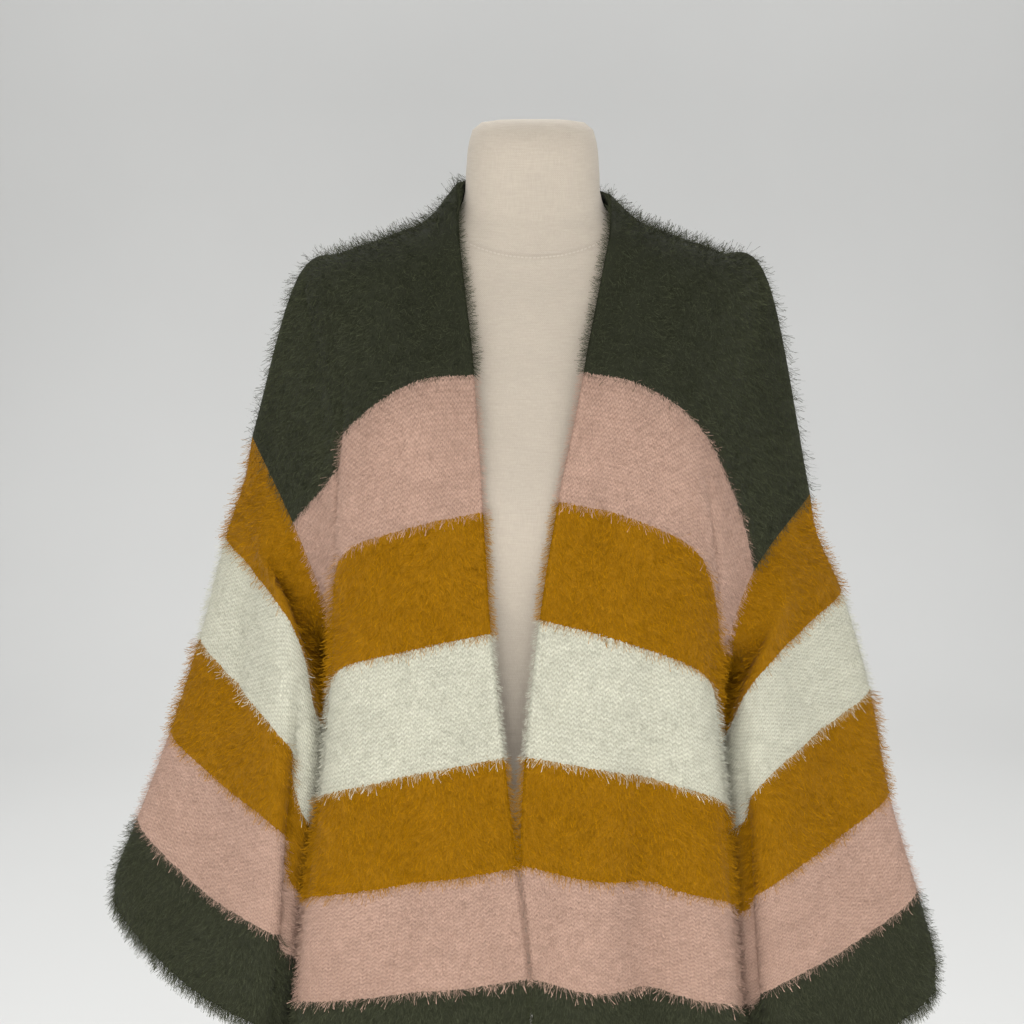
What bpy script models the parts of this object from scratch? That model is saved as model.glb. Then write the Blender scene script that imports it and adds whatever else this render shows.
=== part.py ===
"""An open-front cardigan of fluffy knit, worn by a limbless dress form on a round base.

Units are metres, +Z is up and the origin is the centre of the base's underside. The front
faces -Y. Right and left are the wearer's, so the right side is at -X.

The cloth is modelled as it is cut: two fronts, a back and two sleeves. Each piece is a grid
of points on the inner face of the cloth, with the wall built outwards from it. Lines across
a piece are numbered in stripes: 0 at the shoulder seam and 7 at the hem of the body, 0 at
the armhole and 5 at the cuff of a sleeve.
"""

from collections import defaultdict, namedtuple

import bpy
import numpy as np
from mathutils import Vector
from mathutils.bvhtree import BVHTree

# ---------------------------------------------------------------- driving dimensions

BAND = 0.118  # height of one knitted stripe
BODY_STRIPES = 7
SLEEVE_STRIPES = 5
UNDERARM = 2.5  # where the armhole ends, in stripes below the shoulder seam
WALL = 0.0075  # a knit of 3 mm with a pile of 4 to 5 mm lying on it
SEAM_GAP = 0.0003  # clear distance between two pieces that are sewn together
FORM_GAP = 0.0006  # clear height of the shoulder seam and the neck edge, which rest on the form
DRAPE_GAP = 0.0020  # least clear height of the cloth's other points
SPAN_GAP = 0.0012  # least clear height between two of those points
TAUT_STRIPES = 0.85  # how far down from the shoulder seam the cloth is pulled taut
TAUT_PASSES = 30
LIFT_PASSES = 6

TORSO_BOTTOM = 0.650
TORSO_SIDES = 32
TORSO_STEP = 0.036  # most height between two rings of the torso's mesh
ROUNDNESS = 2.15  # exponent of the torso's sections: 2 is an ellipse

POLE_RADIUS = 0.014
FLANGE_RADIUS = 0.045
FLANGE_HEIGHT = 0.012
BASE_RADIUS = 0.200
BASE_HEIGHT = 0.022
BASE_HUB_RADIUS = 0.030
BASE_HUB_HEIGHT = 0.030
TURNED_SIDES = 32

FRONT_WIDTH = 0.33  # of a front, from its edge to the side seam
OUTER_FULLNESS = 0.55  # how far a sleeve is rounded out on each side of its outer fold:
INNER_FULLNESS = 0.56  # 0.5 keeps it straight and 0.71 makes it an ellipse

PANEL_COLUMNS = 15  # cells from a front edge to the side seam
NECK_COLUMNS = 12  # cells across the back of the neck
ARMHOLE_ROWS = 12  # cells from the shoulder seam to the underarm
SHOULDER_CROWD = 1.35  # over 1 sets those rows closer together near the shoulder seam
SKIRT_ROWS = 13  # cells from the underarm to the hem
SLEEVE_ROWS = 17

# ---------------------------------------------------------------- the shapes, by section

# Sections of the torso from the bottom up: half width, reach to the front and to the back.
Section = namedtuple("Section", "z half_width front back")
TORSO = [
    Section(0.650, 0.158, 0.104, 0.116),
    Section(0.720, 0.169, 0.112, 0.126),
    Section(0.800, 0.168, 0.114, 0.122),
    Section(0.880, 0.149, 0.104, 0.104),
    Section(0.960, 0.124, 0.092, 0.084),
    Section(1.030, 0.126, 0.100, 0.084),
    Section(1.100, 0.140, 0.117, 0.092),
    Section(1.165, 0.151, 0.127, 0.101),
    Section(1.225, 0.160, 0.116, 0.107),
    Section(1.275, 0.176, 0.102, 0.107),
    Section(1.310, 0.190, 0.088, 0.101),
    Section(1.337, 0.197, 0.077, 0.093),
    Section(1.353, 0.194, 0.070, 0.086),
    Section(1.361, 0.184, 0.066, 0.082),
    Section(1.370, 0.158, 0.063, 0.077),
    Section(1.379, 0.131, 0.060, 0.072),
    Section(1.389, 0.103, 0.057, 0.066),
    Section(1.398, 0.080, 0.055, 0.061),
    Section(1.406, 0.067, 0.053, 0.058),
    Section(1.418, 0.060, 0.052, 0.056),
    Section(1.440, 0.0575, 0.051, 0.055),
    Section(1.466, 0.0545, 0.049, 0.053),
    Section(1.476, 0.0515, 0.046, 0.050),
    Section(1.482, 0.0440, 0.039, 0.043),
    Section(1.484, 0.0300, 0.026, 0.029),
]

# Each stripe line of a front: its front edge, the round where it turns to the side, and the
# flank behind that round. The side seam comes from the armhole and the underarm.
Line = namedtuple("Line", "edge breast turn flank")
FRONT_RIGHT = [
    Line((-0.0625, 0.000, 1.430), (-0.098, 0.000, 1.392), (-0.160, 0.000, 1.370), (-0.207, 0.003, 1.345)),
    Line((-0.049, -0.109, 1.288), (-0.098, -0.113, 1.282), (-0.153, -0.097, 1.240), (-0.1825, -0.068, 1.188)),
    Line((-0.042, -0.127, 1.178), (-0.100, -0.128, 1.165), (-0.163, -0.102, 1.128), (-0.175, -0.072, 1.056)),
    Line((-0.036, -0.131, 1.068), (-0.106, -0.132, 1.052), (-0.172, -0.104, 1.017), (-0.183, -0.048, 0.945)),
    Line((-0.025, -0.133, 0.951), (-0.103, -0.134, 0.934), (-0.186, -0.106, 0.897), (-0.193, -0.046, 0.850)),
    Line((-0.0135, -0.134, 0.836), (-0.102, -0.136, 0.820), (-0.204, -0.108, 0.786), (-0.208, -0.046, 0.738)),
    Line((-0.0025, -0.135, 0.718), (-0.104, -0.138, 0.702), (-0.217, -0.110, 0.671), (-0.221, -0.046, 0.625)),
    Line((0.000, -0.135, 0.600), (-0.108, -0.140, 0.585), (-0.228, -0.112, 0.556), (-0.231, -0.046, 0.512)),
]
FRONT_LEFT = [
    Line((0.065, 0.000, 1.420), (0.100, 0.000, 1.391), (0.160, 0.000, 1.370), (0.208, 0.003, 1.342)),
    Line((0.041, -0.109, 1.290), (0.090, -0.113, 1.279), (0.140, -0.099, 1.238), (0.179, -0.068, 1.163)),
    Line((0.021, -0.127, 1.187), (0.080, -0.128, 1.173), (0.146, -0.104, 1.125), (0.169, -0.074, 1.034)),
    Line((0.006, -0.131, 1.081), (0.078, -0.132, 1.060), (0.154, -0.106, 1.012), (0.173, -0.048, 0.922)),
    Line((-0.006, -0.133, 0.952), (0.076, -0.134, 0.936), (0.169, -0.107, 0.893), (0.181, -0.046, 0.833)),
    Line((-0.0095, -0.134, 0.839), (0.074, -0.136, 0.821), (0.181, -0.109, 0.782), (0.191, -0.046, 0.720)),
    Line((0.0008, -0.135, 0.718), (0.078, -0.138, 0.702), (0.193, -0.111, 0.668), (0.202, -0.046, 0.607)),
    Line((0.002, -0.135, 0.600), (0.080, -0.140, 0.587), (0.202, -0.113, 0.555), (0.211, -0.046, 0.494)),
]

# The armhole: its top on the outer line, two stripe lines in front and behind, the underarm.
Armhole = namedtuple("Armhole", "top front_1 front_2 back_1 back_2 underarm")
ARMHOLE_RIGHT = Armhole(
    top=(-0.257, 0.016, 1.200),
    front_1=(-0.2150, -0.040, 1.136),
    front_2=(-0.184, -0.030, 1.038),
    back_1=(-0.218, 0.075, 1.132),
    back_2=(-0.190, 0.066, 1.038),
    underarm=(-0.178, 0.020, 0.985),
)
ARMHOLE_LEFT = Armhole(
    top=(0.261, 0.016, 1.144),
    front_1=(0.2035, -0.038, 1.0895),
    front_2=(0.180, -0.032, 1.012),
    back_1=(0.212, 0.075, 1.084),
    back_2=(0.186, 0.066, 1.012),
    underarm=(0.174, 0.020, 0.960),
)
SIDE_SPREAD = 0.034  # how much further out the side seam is at the hem than at the underarm

# Stripe lines 1 to 7 of the back, the same on both sides: half its width at the turn to the
# side, its reach to the back at the centre and at that turn, its height at the centre and
# how much lower the turn is. Line 0 runs round the neck and along the shoulder seams.
BACK_NECK = (0.000, 0.069, 1.434)
BackLine = namedtuple("BackLine", "turn_x centre_y turn_y centre_z turn_drop")
BACK = [
    BackLine(0.158, 0.118, 0.104, 1.318, 0.075),
    BackLine(0.162, 0.129, 0.114, 1.202, 0.096),
    BackLine(0.170, 0.133, 0.116, 1.084, 0.090),
    BackLine(0.183, 0.135, 0.118, 0.966, 0.080),
    BackLine(0.198, 0.137, 0.118, 0.848, 0.070),
    BackLine(0.210, 0.139, 0.120, 0.730, 0.066),
    BackLine(0.220, 0.141, 0.122, 0.612, 0.062),
]
FLANK_BULGE = 0.008  # how far the back stands out between its turn and the side seam
FLANK_SAG = 0.010  # how far a stripe line sags there

# Each stripe line of a sleeve: the outer fold, the front-most point, the point next to the
# body's side, the line that runs down from the underarm, and how far the stripe sags between
# the first two. The back of the sleeve mirrors its front about the outer fold.
Ring = namedtuple("Ring", "outer front beside inner sag")
SLEEVE_RIGHT = [
    Ring((-0.287, 0.015, 1.103), (-0.219, -0.075, 1.056), (-0.2, -0.06, 0.96), (-0.204, 0.02, 0.9), 0),
    Ring((-0.319, 0.012, 1.001), (-0.229, -0.086, 0.942), (-0.209, -0.063, 0.855), (-0.218, 0.02, 0.812), 0.003),
    Ring((-0.356, 0.01, 0.899), (-0.239, -0.091, 0.85), (-0.225, -0.062, 0.769), (-0.23, 0.02, 0.724), 0.008),
    Ring((-0.398, 0.008, 0.799), (-0.252, -0.092, 0.735), (-0.236, -0.064, 0.69), (-0.242, 0.02, 0.636), 0.018),
    Ring((-0.439, 0.006, 0.708), (-0.27, -0.092, 0.626), (-0.248, -0.066, 0.6), (-0.252, 0.02, 0.548), 0.024),
]
SLEEVE_LEFT = [
    Ring((0.297, 0.014, 1.048), (0.207, -0.071, 0.997), (0.191, -0.052, 0.934), (0.195, 0.018, 0.876), 0),
    Ring((0.331, 0.006, 0.948), (0.219, -0.079, 0.896), (0.2, -0.058, 0.83), (0.206, 0.02, 0.789), 0),
    Ring((0.355, -0.012, 0.842), (0.231, -0.084, 0.783), (0.208, -0.062, 0.737), (0.218, 0.02, 0.702), 0.005),
    Ring((0.39, -0.024, 0.736), (0.245, -0.086, 0.67), (0.221, -0.064, 0.628), (0.227, 0.02, 0.615), 0.009),
    Ring((0.424, -0.04, 0.632), (0.259, -0.086, 0.559), (0.233, -0.066, 0.54), (0.236, 0.02, 0.528), 0.012),
]
SLEEVE_CENTRE_Y = 0.020
SLEEVE_BACK_OUT = 0.014  # how much further out a sleeve's back-most line runs than its front-most

# How the sleeve leaves the armhole over its first LEAVE_STRIPES, as steps outwards, forwards
# and down: nearly straight down at the top, and outwards in an arch at the underarm.
LEAVE_STRIPES = 0.22
LEAVE_TOP = (0.005, 0.000, 0.025)
LEAVE_FRONT = (0.021, 0.003, 0.015)
LEAVE_BESIDE = (0.016, 0.003, 0.010)
LEAVE_UNDERARM = (0.023, 0.000, 0.006)

# Soft vertical folds: where across the piece, how wide and how deep (a ridge is negative),
# and the stripe lines between which the fold grows from nothing to its full depth.
Fold = namedtuple("Fold", "across width depth starts full")
FRONT_FOLDS = {
    "right": [Fold(0.30, 0.10, 0.004, 2.5, 7.0)],
    "left": [Fold(0.36, 0.075, 0.017, 2.8, 6.6), Fold(0.17, 0.09, -0.004, 3.0, 6.0)],
}
BACK_FOLDS = [
    Fold(-0.72, 0.10, 0.015, 1.6, 6.0),
    Fold(-0.40, 0.09, -0.008, 2.2, 6.5),
    Fold(-0.12, 0.11, 0.014, 1.8, 6.4),
    Fold(0.20, 0.10, -0.007, 2.6, 6.6),
    Fold(0.46, 0.10, 0.013, 1.9, 6.2),
    Fold(0.76, 0.09, 0.011, 2.4, 6.8),
]
HEM_CORNER = Fold(0.0, 0.055, 0.017, 4.6, 5.3)  # where the outer fold meets the hem
SLEEVE_FOLDS = {
    "right": [Fold(0.300, 0.030, 0.014, 1.0, 2.3), Fold(0.71, 0.045, 0.012, 0.9, 2.8), HEM_CORNER],
    "left": [Fold(0.325, 0.038, 0.010, 0.9, 2.6), Fold(0.70, 0.042, 0.012, 0.8, 2.6), HEM_CORNER],
}

# ---------------------------------------------------------------- colours of the parts

LINEN = (0.66, 0.58, 0.47)
BLUSH = (0.52, 0.32, 0.26)
OLIVE = (0.035, 0.042, 0.022)
MUSTARD = (0.40, 0.16, 0.006)
OFF_WHITE = (0.62, 0.60, 0.55)


def smooth_curve(knots, points, at):
    """The smooth curve through points, which stand at increasing knots, read at `at`."""
    knots = np.asarray(knots, float)
    points = np.asarray(points, float)
    at = np.asarray(at, float)
    spans = np.diff(knots)
    shape = (-1,) + (1,) * (points.ndim - 1)
    slopes = np.diff(points, axis=0) / spans.reshape(shape)
    tangents = np.empty_like(points)
    tangents[0], tangents[-1] = slopes[0], slopes[-1]
    before, after = spans[:-1].reshape(shape), spans[1:].reshape(shape)
    tangents[1:-1] = (slopes[:-1] * after + slopes[1:] * before) / (before + after)
    cell = np.clip(np.searchsorted(knots, at, side="right") - 1, 0, len(spans) - 1)
    span = spans[cell].reshape(shape)
    t = ((at - knots[cell]) / spans[cell]).reshape(shape)
    start, end = points[cell], points[cell + 1]
    return (
        (2 * t**3 - 3 * t**2 + 1) * start
        + (t**3 - 2 * t**2 + t) * span * tangents[cell]
        + (3 * t**2 - 2 * t**3) * end
        + (t**3 - t**2) * span * tangents[cell + 1]
    )


def ramp(value, low, high):
    """0 below low, 1 above high, and an eased rise between them."""
    t = np.clip((value - low) / (high - low), 0, 1)
    return t * t * (3 - 2 * t)


# ---------------------------------------------------------------- the dress form


def torso_sections():
    """The torso's sections, with more between each pair that is far apart."""
    rows = np.array(TORSO)
    heights = [rows[0, 0]]
    for low, high in zip(rows[:-1, 0], rows[1:, 0]):
        steps = max(1, int(round((high - low) / TORSO_STEP)))
        heights += [low + (high - low) * step / steps for step in range(1, steps + 1)]
    return smooth_curve(rows[:, 0], rows, heights)


SECTIONS = torso_sections()
WIDEST = int(np.argmax(SECTIONS[:, 1]))


def shoulder_height(x):
    """Height of the torso's shoulder line at a distance x from the middle."""
    upper = SECTIONS[WIDEST:]
    return np.interp(np.abs(x), upper[::-1, 1], upper[::-1, 0])


def torso_rings():
    """The torso's sections as rings of points."""
    turns = 2 * np.pi * np.arange(TORSO_SIDES) / TORSO_SIDES
    across, along = np.cos(turns), np.sin(turns)
    rings = []
    for z, width, front, back in SECTIONS:
        x = width * np.sign(across) * np.abs(across) ** (2 / ROUNDNESS)
        depth = np.where(along > 0, back, front)
        y = depth * np.sign(along) * np.abs(along) ** (2 / ROUNDNESS)
        rings.append(np.stack([x, y, np.full_like(x, z)], -1))
    return rings


def stacked_rings(rings):
    """Points and faces of a solid of stacked rings, closed by a flat face at both ends."""
    sides = len(rings[0])
    points = [tuple(point) for ring in rings for point in ring]
    faces = [tuple(reversed(range(sides)))]
    for row in range(len(rings) - 1):
        for side in range(sides):
            low = row * sides + side
            low_next = row * sides + (side + 1) % sides
            faces.append((low, low_next, low_next + sides, low + sides))
    faces.append(tuple(range((len(rings) - 1) * sides, len(rings) * sides)))
    return points, faces


TORSO_TREE = BVHTree.FromPolygons(*stacked_rings(torso_rings()))


def off_torso(point, gap):
    """The shortest move that makes a point clear the torso by the gap, or none."""
    nearest, outwards = TORSO_TREE.find_nearest(Vector(point))[:2]
    short = gap - (Vector(point) - nearest).dot(outwards)
    return np.array(outwards) * max(short, 0.0)


def drape(grid, stripe, from_edge):
    """Pulls the rows near the shoulder seam taut over the torso and sets the rest off it.

    from_edge is each column's place across its front, which fades the pull towards the armhole.
    """
    grid = grid.copy()
    pull = (1 - ramp(from_edge, 0.60, 0.85))[:, None]
    gaps = FORM_GAP + (DRAPE_GAP - FORM_GAP) * ramp(stripe, 0, 0.09)
    taut = [row for row in range(1, len(stripe)) if stripe[row] < TAUT_STRIPES]
    for _ in range(TAUT_PASSES):
        for row in taut:
            share = (stripe[row] - stripe[row - 1]) / (stripe[row + 1] - stripe[row - 1])
            level = (1 - share) * grid[row - 1] + share * grid[row + 1]
            grid[row] += pull * (level - grid[row])
            for column in range(grid.shape[1]):
                grid[row, column] += off_torso(grid[row, column], gaps[row])
    for row in range(len(taut) + 1, len(stripe)):
        for column in range(grid.shape[1]):
            grid[row, column] += off_torso(grid[row, column], gaps[row])
    return grid


# Shares of a cell's corners (here, along, below, below along) at the places that are measured.
SPAN_PLACES = np.array([
    (0.5, 0.5, 0, 0),
    (1, 0, 0, 0),
    (0.5, 0, 0.5, 0),
    (0, 0.5, 0, 0.5),
    (0, 0, 0.5, 0.5),
    (0.5, 0, 0, 0.5),
    (0, 0.5, 0.5, 0),
    (0.75, 0, 0, 0.25),
    (0.25, 0, 0, 0.75),
    (0, 0.75, 0.25, 0),
    (0, 0.25, 0.75, 0),
])


def lift_spans(grids, close_columns):
    """Moves cells off the torso where their corners clear it and the cloth between doesn't.

    close_columns lists, for each grid, an edge column, the one close beside it and the next.
    """
    share = EDGE_STEP / FRONT_WIDTH * PANEL_COLUMNS
    for _ in range(LIFT_PASSES):
        pushes = defaultdict(lambda: np.zeros(3))
        for grid in grids:
            for row in range(grid.shape[0] - 1):
                for column in range(grid.shape[1] - 1):
                    cell = grid[row:row + 2, column:column + 2].reshape(4, 3)
                    for place, point in enumerate(SPAN_PLACES @ cell):
                        push = off_torso(point, FORM_GAP if row == 0 and place < 2 else SPAN_GAP)
                        if not push.any():
                            continue
                        for corner in cell[SPAN_PLACES[place] > 0]:
                            key = corner_key(corner)
                            if np.linalg.norm(push) > np.linalg.norm(pushes[key]):
                                pushes[key] = push
        for grid in grids:
            for row in range(grid.shape[0]):
                for column in range(grid.shape[1]):
                    grid[row, column] += pushes.get(corner_key(grid[row, column]), 0.0)
        for grid, columns in zip(grids, close_columns):
            for edge, beside, after in columns:
                grid[:, beside] = (1 - share) * grid[:, edge] + share * grid[:, after]


def add_piece(name, points, faces, colour, roughness, metallic=0.0):
    mesh = bpy.data.meshes.new(name)
    mesh.from_pydata([tuple(point) for point in points], [], faces)
    mesh.shade_smooth()
    mesh.set_sharp_from_angle(angle=np.radians(50))
    material = bpy.data.materials.new(name)
    material.use_nodes = True
    shader = material.node_tree.nodes["Principled BSDF"]
    shader.inputs["Base Color"].default_value = (*colour, 1)
    shader.inputs["Roughness"].default_value = roughness
    shader.inputs["Metallic"].default_value = metallic
    material.diffuse_color = (*colour, 1)
    mesh.materials.append(material)
    piece = bpy.data.objects.new(name, mesh)
    bpy.context.scene.collection.objects.link(piece)
    return piece


def add_torso():
    points, faces = stacked_rings(torso_rings())
    add_piece("form_torso", points, faces, LINEN, 0.85)


def add_turned(name, profile, colour, roughness, metallic):
    """A turned piece: profile is its outline as (radius, height), from the bottom up."""
    turns = 2 * np.pi * np.arange(TURNED_SIDES) / TURNED_SIDES
    rings = [
        np.stack([radius * np.cos(turns), radius * np.sin(turns), np.full_like(turns, height)], -1)
        for radius, height in profile
    ]
    points, faces = stacked_rings(rings)
    add_piece(name, points, faces, colour, roughness, metallic)


def add_stand():
    edge = 0.004
    add_turned(
        "form_base",
        [
            (BASE_RADIUS - edge, 0.0),
            (BASE_RADIUS, edge),
            (BASE_RADIUS, BASE_HEIGHT - 2 * edge),
            (BASE_RADIUS - edge, BASE_HEIGHT - edge),
            (BASE_HUB_RADIUS + edge, BASE_HEIGHT),
            (BASE_HUB_RADIUS, BASE_HEIGHT + edge),
            (BASE_HUB_RADIUS - edge, BASE_HUB_HEIGHT),
        ],
        OFF_WHITE,
        0.45,
        0.0,
    )
    top = TORSO_BOTTOM - SEAM_GAP
    flange = top - FLANGE_HEIGHT
    add_turned(
        "form_pole",
        [
            (POLE_RADIUS, BASE_HUB_HEIGHT + SEAM_GAP),
            (POLE_RADIUS, flange - 0.030),
            (POLE_RADIUS + edge, flange - 0.020),
            (POLE_RADIUS + edge, flange - edge),
            (FLANGE_RADIUS, flange),
            (FLANGE_RADIUS, top),
        ],
        OFF_WHITE,
        0.35,
        0.0,
    )


# ---------------------------------------------------------------- the cloth's surfaces

# Places across a front, from its front edge at 0 to the side seam at 1. The back has the same
# places on each side, and its neck edge between them.
ACROSS_FRONT = [0.0, 0.27, 0.55, 0.79, 1.0]
NECK_HALF = 0.20
ACROSS_BACK = [0.0, NECK_HALF, NECK_HALF + 0.55, NECK_HALF + 0.79, NECK_HALF + 1.0]
SEAM_BLEND = 0.6  # stripes below the shoulder seam over which a piece is led to it
SHAPES = {"right": (FRONT_RIGHT, ARMHOLE_RIGHT), "left": (FRONT_LEFT, ARMHOLE_LEFT)}
SLEEVES = {"right": SLEEVE_RIGHT, "left": SLEEVE_LEFT}


def seam_line(armhole, face, stripe):
    """The armhole on the front or the back, and below the underarm the side seam."""
    first = armhole.front_1 if face == "front" else armhole.back_1
    second = armhole.front_2 if face == "front" else armhole.back_2
    knots = [0, 1, 2, UNDERARM]
    points = [armhole.top, first, second, armhole.underarm]
    upper = smooth_curve(knots, points, np.minimum(stripe, UNDERARM))
    below = np.maximum(stripe - UNDERARM, 0)
    x, y, z = armhole.underarm
    spread = SIDE_SPREAD * np.sin(0.5 * np.pi * below / (BODY_STRIPES - UNDERARM))
    lower = np.stack([x + np.sign(x) * spread, np.full_like(below, y), z - BAND * below], -1)
    return np.where((stripe <= UNDERARM)[:, None], upper, lower)


def shoulder_line(side, across):
    """The shoulder seam: it lies on the torso's shoulder and drops past it to the armhole."""
    lines, armhole = SHAPES[side]
    points = smooth_curve(ACROSS_FRONT, [*lines[0], armhole.top], across)
    on_form = np.abs(points[:, 0]) < SECTIONS[WIDEST, 1]
    lowest = shoulder_height(points[:, 0]) + FORM_GAP
    points[:, 2] = np.where(on_form, np.maximum(points[:, 2], lowest), points[:, 2])
    return points


def grid_normals(grid):
    """Unit normals that point away from the wearer, from the lines that cross at each point."""
    normal = np.cross(np.gradient(grid, axis=0), np.gradient(grid, axis=1))
    return normal / np.linalg.norm(normal, axis=2, keepdims=True)


def press_folds(grid, across, stripe, folds):
    """Moves a grid's points along its normals, inwards in a fold and outwards on a ridge."""
    inward = np.zeros(grid.shape[:2])
    for fold in folds:
        profile = np.exp(-(((across - fold.across) / fold.width) ** 2))
        inward += fold.depth * np.outer(ramp(stripe, fold.starts, fold.full), profile)
    return grid - grid_normals(grid) * inward[..., None]


def front_grid(side, across, stripe):
    """A front's inner points: a row for each stripe line, a column for each place across."""
    lines, armhole = SHAPES[side]
    knots = range(BODY_STRIPES + 1)
    columns = smooth_curve(knots, [tuple(line) for line in lines], stripe)
    seam = seam_line(armhole, "front", stripe)
    columns = np.concatenate([columns, seam[:, None]], axis=1)
    grid = smooth_curve(ACROSS_FRONT, columns.transpose(1, 0, 2), across).transpose(1, 0, 2)
    lead = 1 - ramp(stripe, 0, SEAM_BLEND)
    grid += (shoulder_line(side, across) - grid[0]) * lead[:, None, None]
    order = slice(None, None, -1) if side == "right" else slice(None)
    grid, across = grid[:, order], across[order]
    grid = press_folds(grid, across, stripe, FRONT_FOLDS[side])
    return drape(grid, stripe, across)


def back_half(side):
    """Control points of one half of the back, a row for each stripe line, from its centre."""
    lines, armhole = SHAPES[side]
    sign = -1 if side == "right" else 1
    neck = lines[0].edge
    rows = [[BACK_NECK, neck, lines[0].turn, lines[0].flank, armhole.top]]
    seams = seam_line(armhole, "back", np.arange(BODY_STRIPES + 1.0))
    for line, seam in zip(BACK, seams[1:]):
        turn = np.array([sign * line.turn_x, line.turn_y, line.centre_z - line.turn_drop])
        flank = (turn + seam) / 2 + np.array([sign * FLANK_BULGE, 0, -FLANK_SAG])
        beside = (neck[0], line.centre_y - 0.003, line.centre_z - 0.006)
        rows.append([(0.0, line.centre_y, line.centre_z), beside, turn, flank, seam])
    return rows


def back_grid(across, stripe):
    """The back's inner points, from the left side seam round to the right one."""
    halves = {}
    for side, (_, armhole) in SHAPES.items():
        columns = smooth_curve(range(BODY_STRIPES + 1), back_half(side), stripe)
        columns[:, -1] = seam_line(armhole, "back", stripe)
        halves[side] = columns
    knots = [-place for place in reversed(ACROSS_BACK)] + ACROSS_BACK[1:]
    columns = np.concatenate([halves["left"][:, ::-1], halves["right"][:, 1:]], axis=1)
    grid = smooth_curve(knots, columns.transpose(1, 0, 2), across).transpose(1, 0, 2)
    grid = press_folds(grid, across, stripe, BACK_FOLDS)
    lead = 1 - ramp(stripe, 0, SEAM_BLEND)
    for side, sign in (("left", -1), ("right", 1)):
        on_shoulder = sign * across >= NECK_HALF - 1e-9
        shoulder = shoulder_line(side, sign * across[on_shoulder] - NECK_HALF)
        grid[:, on_shoulder] += (shoulder - grid[0, on_shoulder]) * lead[:, None, None]
    return drape(grid, stripe, np.abs(across) - NECK_HALF)


ROUND_STEPS = 8


def ring_points(ring):
    """Control points round a sleeve at one stripe line: outer fold, front, inside, back."""
    outer, front, beside, inner = (np.array(point) for point in ring[:4])
    back = front.copy()
    back[0] += np.sign(back[0]) * SLEEVE_BACK_OUT
    back[1] = 2 * SLEEVE_CENTRE_Y - front[1]
    centre = (outer + inner) / 2

    def rounded_out(here, there, fullness):
        return centre + fullness * (here + there - 2 * centre)

    outer_front = rounded_out(outer, front, OUTER_FULLNESS) - np.array([0, 0, ring.sag])
    inner_back = rounded_out(inner, back, INNER_FULLNESS)
    outer_back = rounded_out(back, outer, OUTER_FULLNESS) - np.array([0, 0, ring.sag])
    return [outer, outer_front, front, beside, inner, inner_back, back, outer_back]


def leaving_steps(side, around):
    """The step from the armhole to the first line of the sleeve, at each place around."""
    outwards = -1 if side == "right" else 1
    turn = [LEAVE_TOP, LEAVE_FRONT, LEAVE_BESIDE, LEAVE_UNDERARM, LEAVE_FRONT, LEAVE_TOP]
    steps = smooth_curve([0, 0.25, 0.385, 0.5, 0.75, 1], turn, around)
    forwards = np.where(around <= 0.5, -1, 1)
    return steps * np.stack([np.full_like(around, outwards), forwards, np.full_like(around, -1)], -1)


def sleeve_grid(side, around, stripe):
    """A sleeve's inner points: a row for each stripe line, a column for each place around."""
    armhole = SHAPES[side][1]
    rings = SLEEVES[side]
    steps = np.arange(-3, ROUND_STEPS + 4) / ROUND_STEPS
    wrapped = np.arange(-3, ROUND_STEPS + 4) % ROUND_STEPS
    on_front = seam_line(armhole, "front", 2 * UNDERARM * around)
    on_back = seam_line(armhole, "back", 2 * UNDERARM * (1 - around))
    armhole_ring = np.where((around <= 0.5)[:, None], on_front, on_back)
    rows = [armhole_ring, armhole_ring + leaving_steps(side, around)]
    for ring in rings:
        points = np.array(ring_points(ring))[wrapped]
        rows.append(smooth_curve(steps, points, around))
    knots = [0.0, LEAVE_STRIPES, *range(1, SLEEVE_STRIPES + 1)]
    grid = smooth_curve(knots, rows, stripe)
    if side == "left":
        grid, around = grid[:, ::-1], around[::-1]
    closed = np.concatenate([grid[:, -1:], grid, grid[:, :1]], axis=1)
    normals = grid_normals(closed)[:, 1:-1]
    inward = np.zeros(grid.shape[:2])
    for fold in SLEEVE_FOLDS[side]:
        apart = np.abs(around - fold.across)
        apart = np.minimum(apart, 1 - apart)
        profile = np.exp(-((apart / fold.width) ** 2))
        inward += fold.depth * np.outer(ramp(stripe, fold.starts, fold.full), profile)
    return grid - normals * inward[..., None]


# ---------------------------------------------------------------- the cloth's walls

# How far the two faces of the wall draw together at an open edge, which rounds it off.
EDGE_PINCH = 0.28
EDGE_STEP = 0.0035  # how far from an open edge the wall has its whole thickness

# For each piece, its sewn borders and its free ones, and its colour.
BORDERS = {
    "cardigan_front_right": ((["top", "first"], ["bottom", "last"]), BLUSH),
    "cardigan_front_left": ((["top", "last"], ["bottom", "first"]), BLUSH),
    "cardigan_back": ((["top", "first", "last"], ["bottom"]), OLIVE),
    "cardigan_sleeve_right": ((["top"], ["bottom"]), MUSTARD),
    "cardigan_sleeve_left": ((["top"], ["bottom"]), MUSTARD),
}

# The wall's thicknesses from free to pressed, the first of them that a seam can have, and
# how far twice the wall has to stay from other cloth, as a share of its own length.
WALLS = [WALL, 0.0065, 0.0055, 0.0045, 0.0035, 0.0025, 0.0018, 0.0012]
SEAM_WALLS = 3
SEAM_CLEAR = 0.5
PILE_CLEAR = 0.9

BESIDE = {"top": np.s_[1], "bottom": np.s_[-2], "first": np.s_[:, 1], "last": np.s_[:, -2]}
BORDER = {"top": np.s_[0], "bottom": np.s_[-1], "first": np.s_[:, 0], "last": np.s_[:, -1]}


def corner_key(point):
    return tuple(np.round(point, 6) + 0.0)


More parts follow.
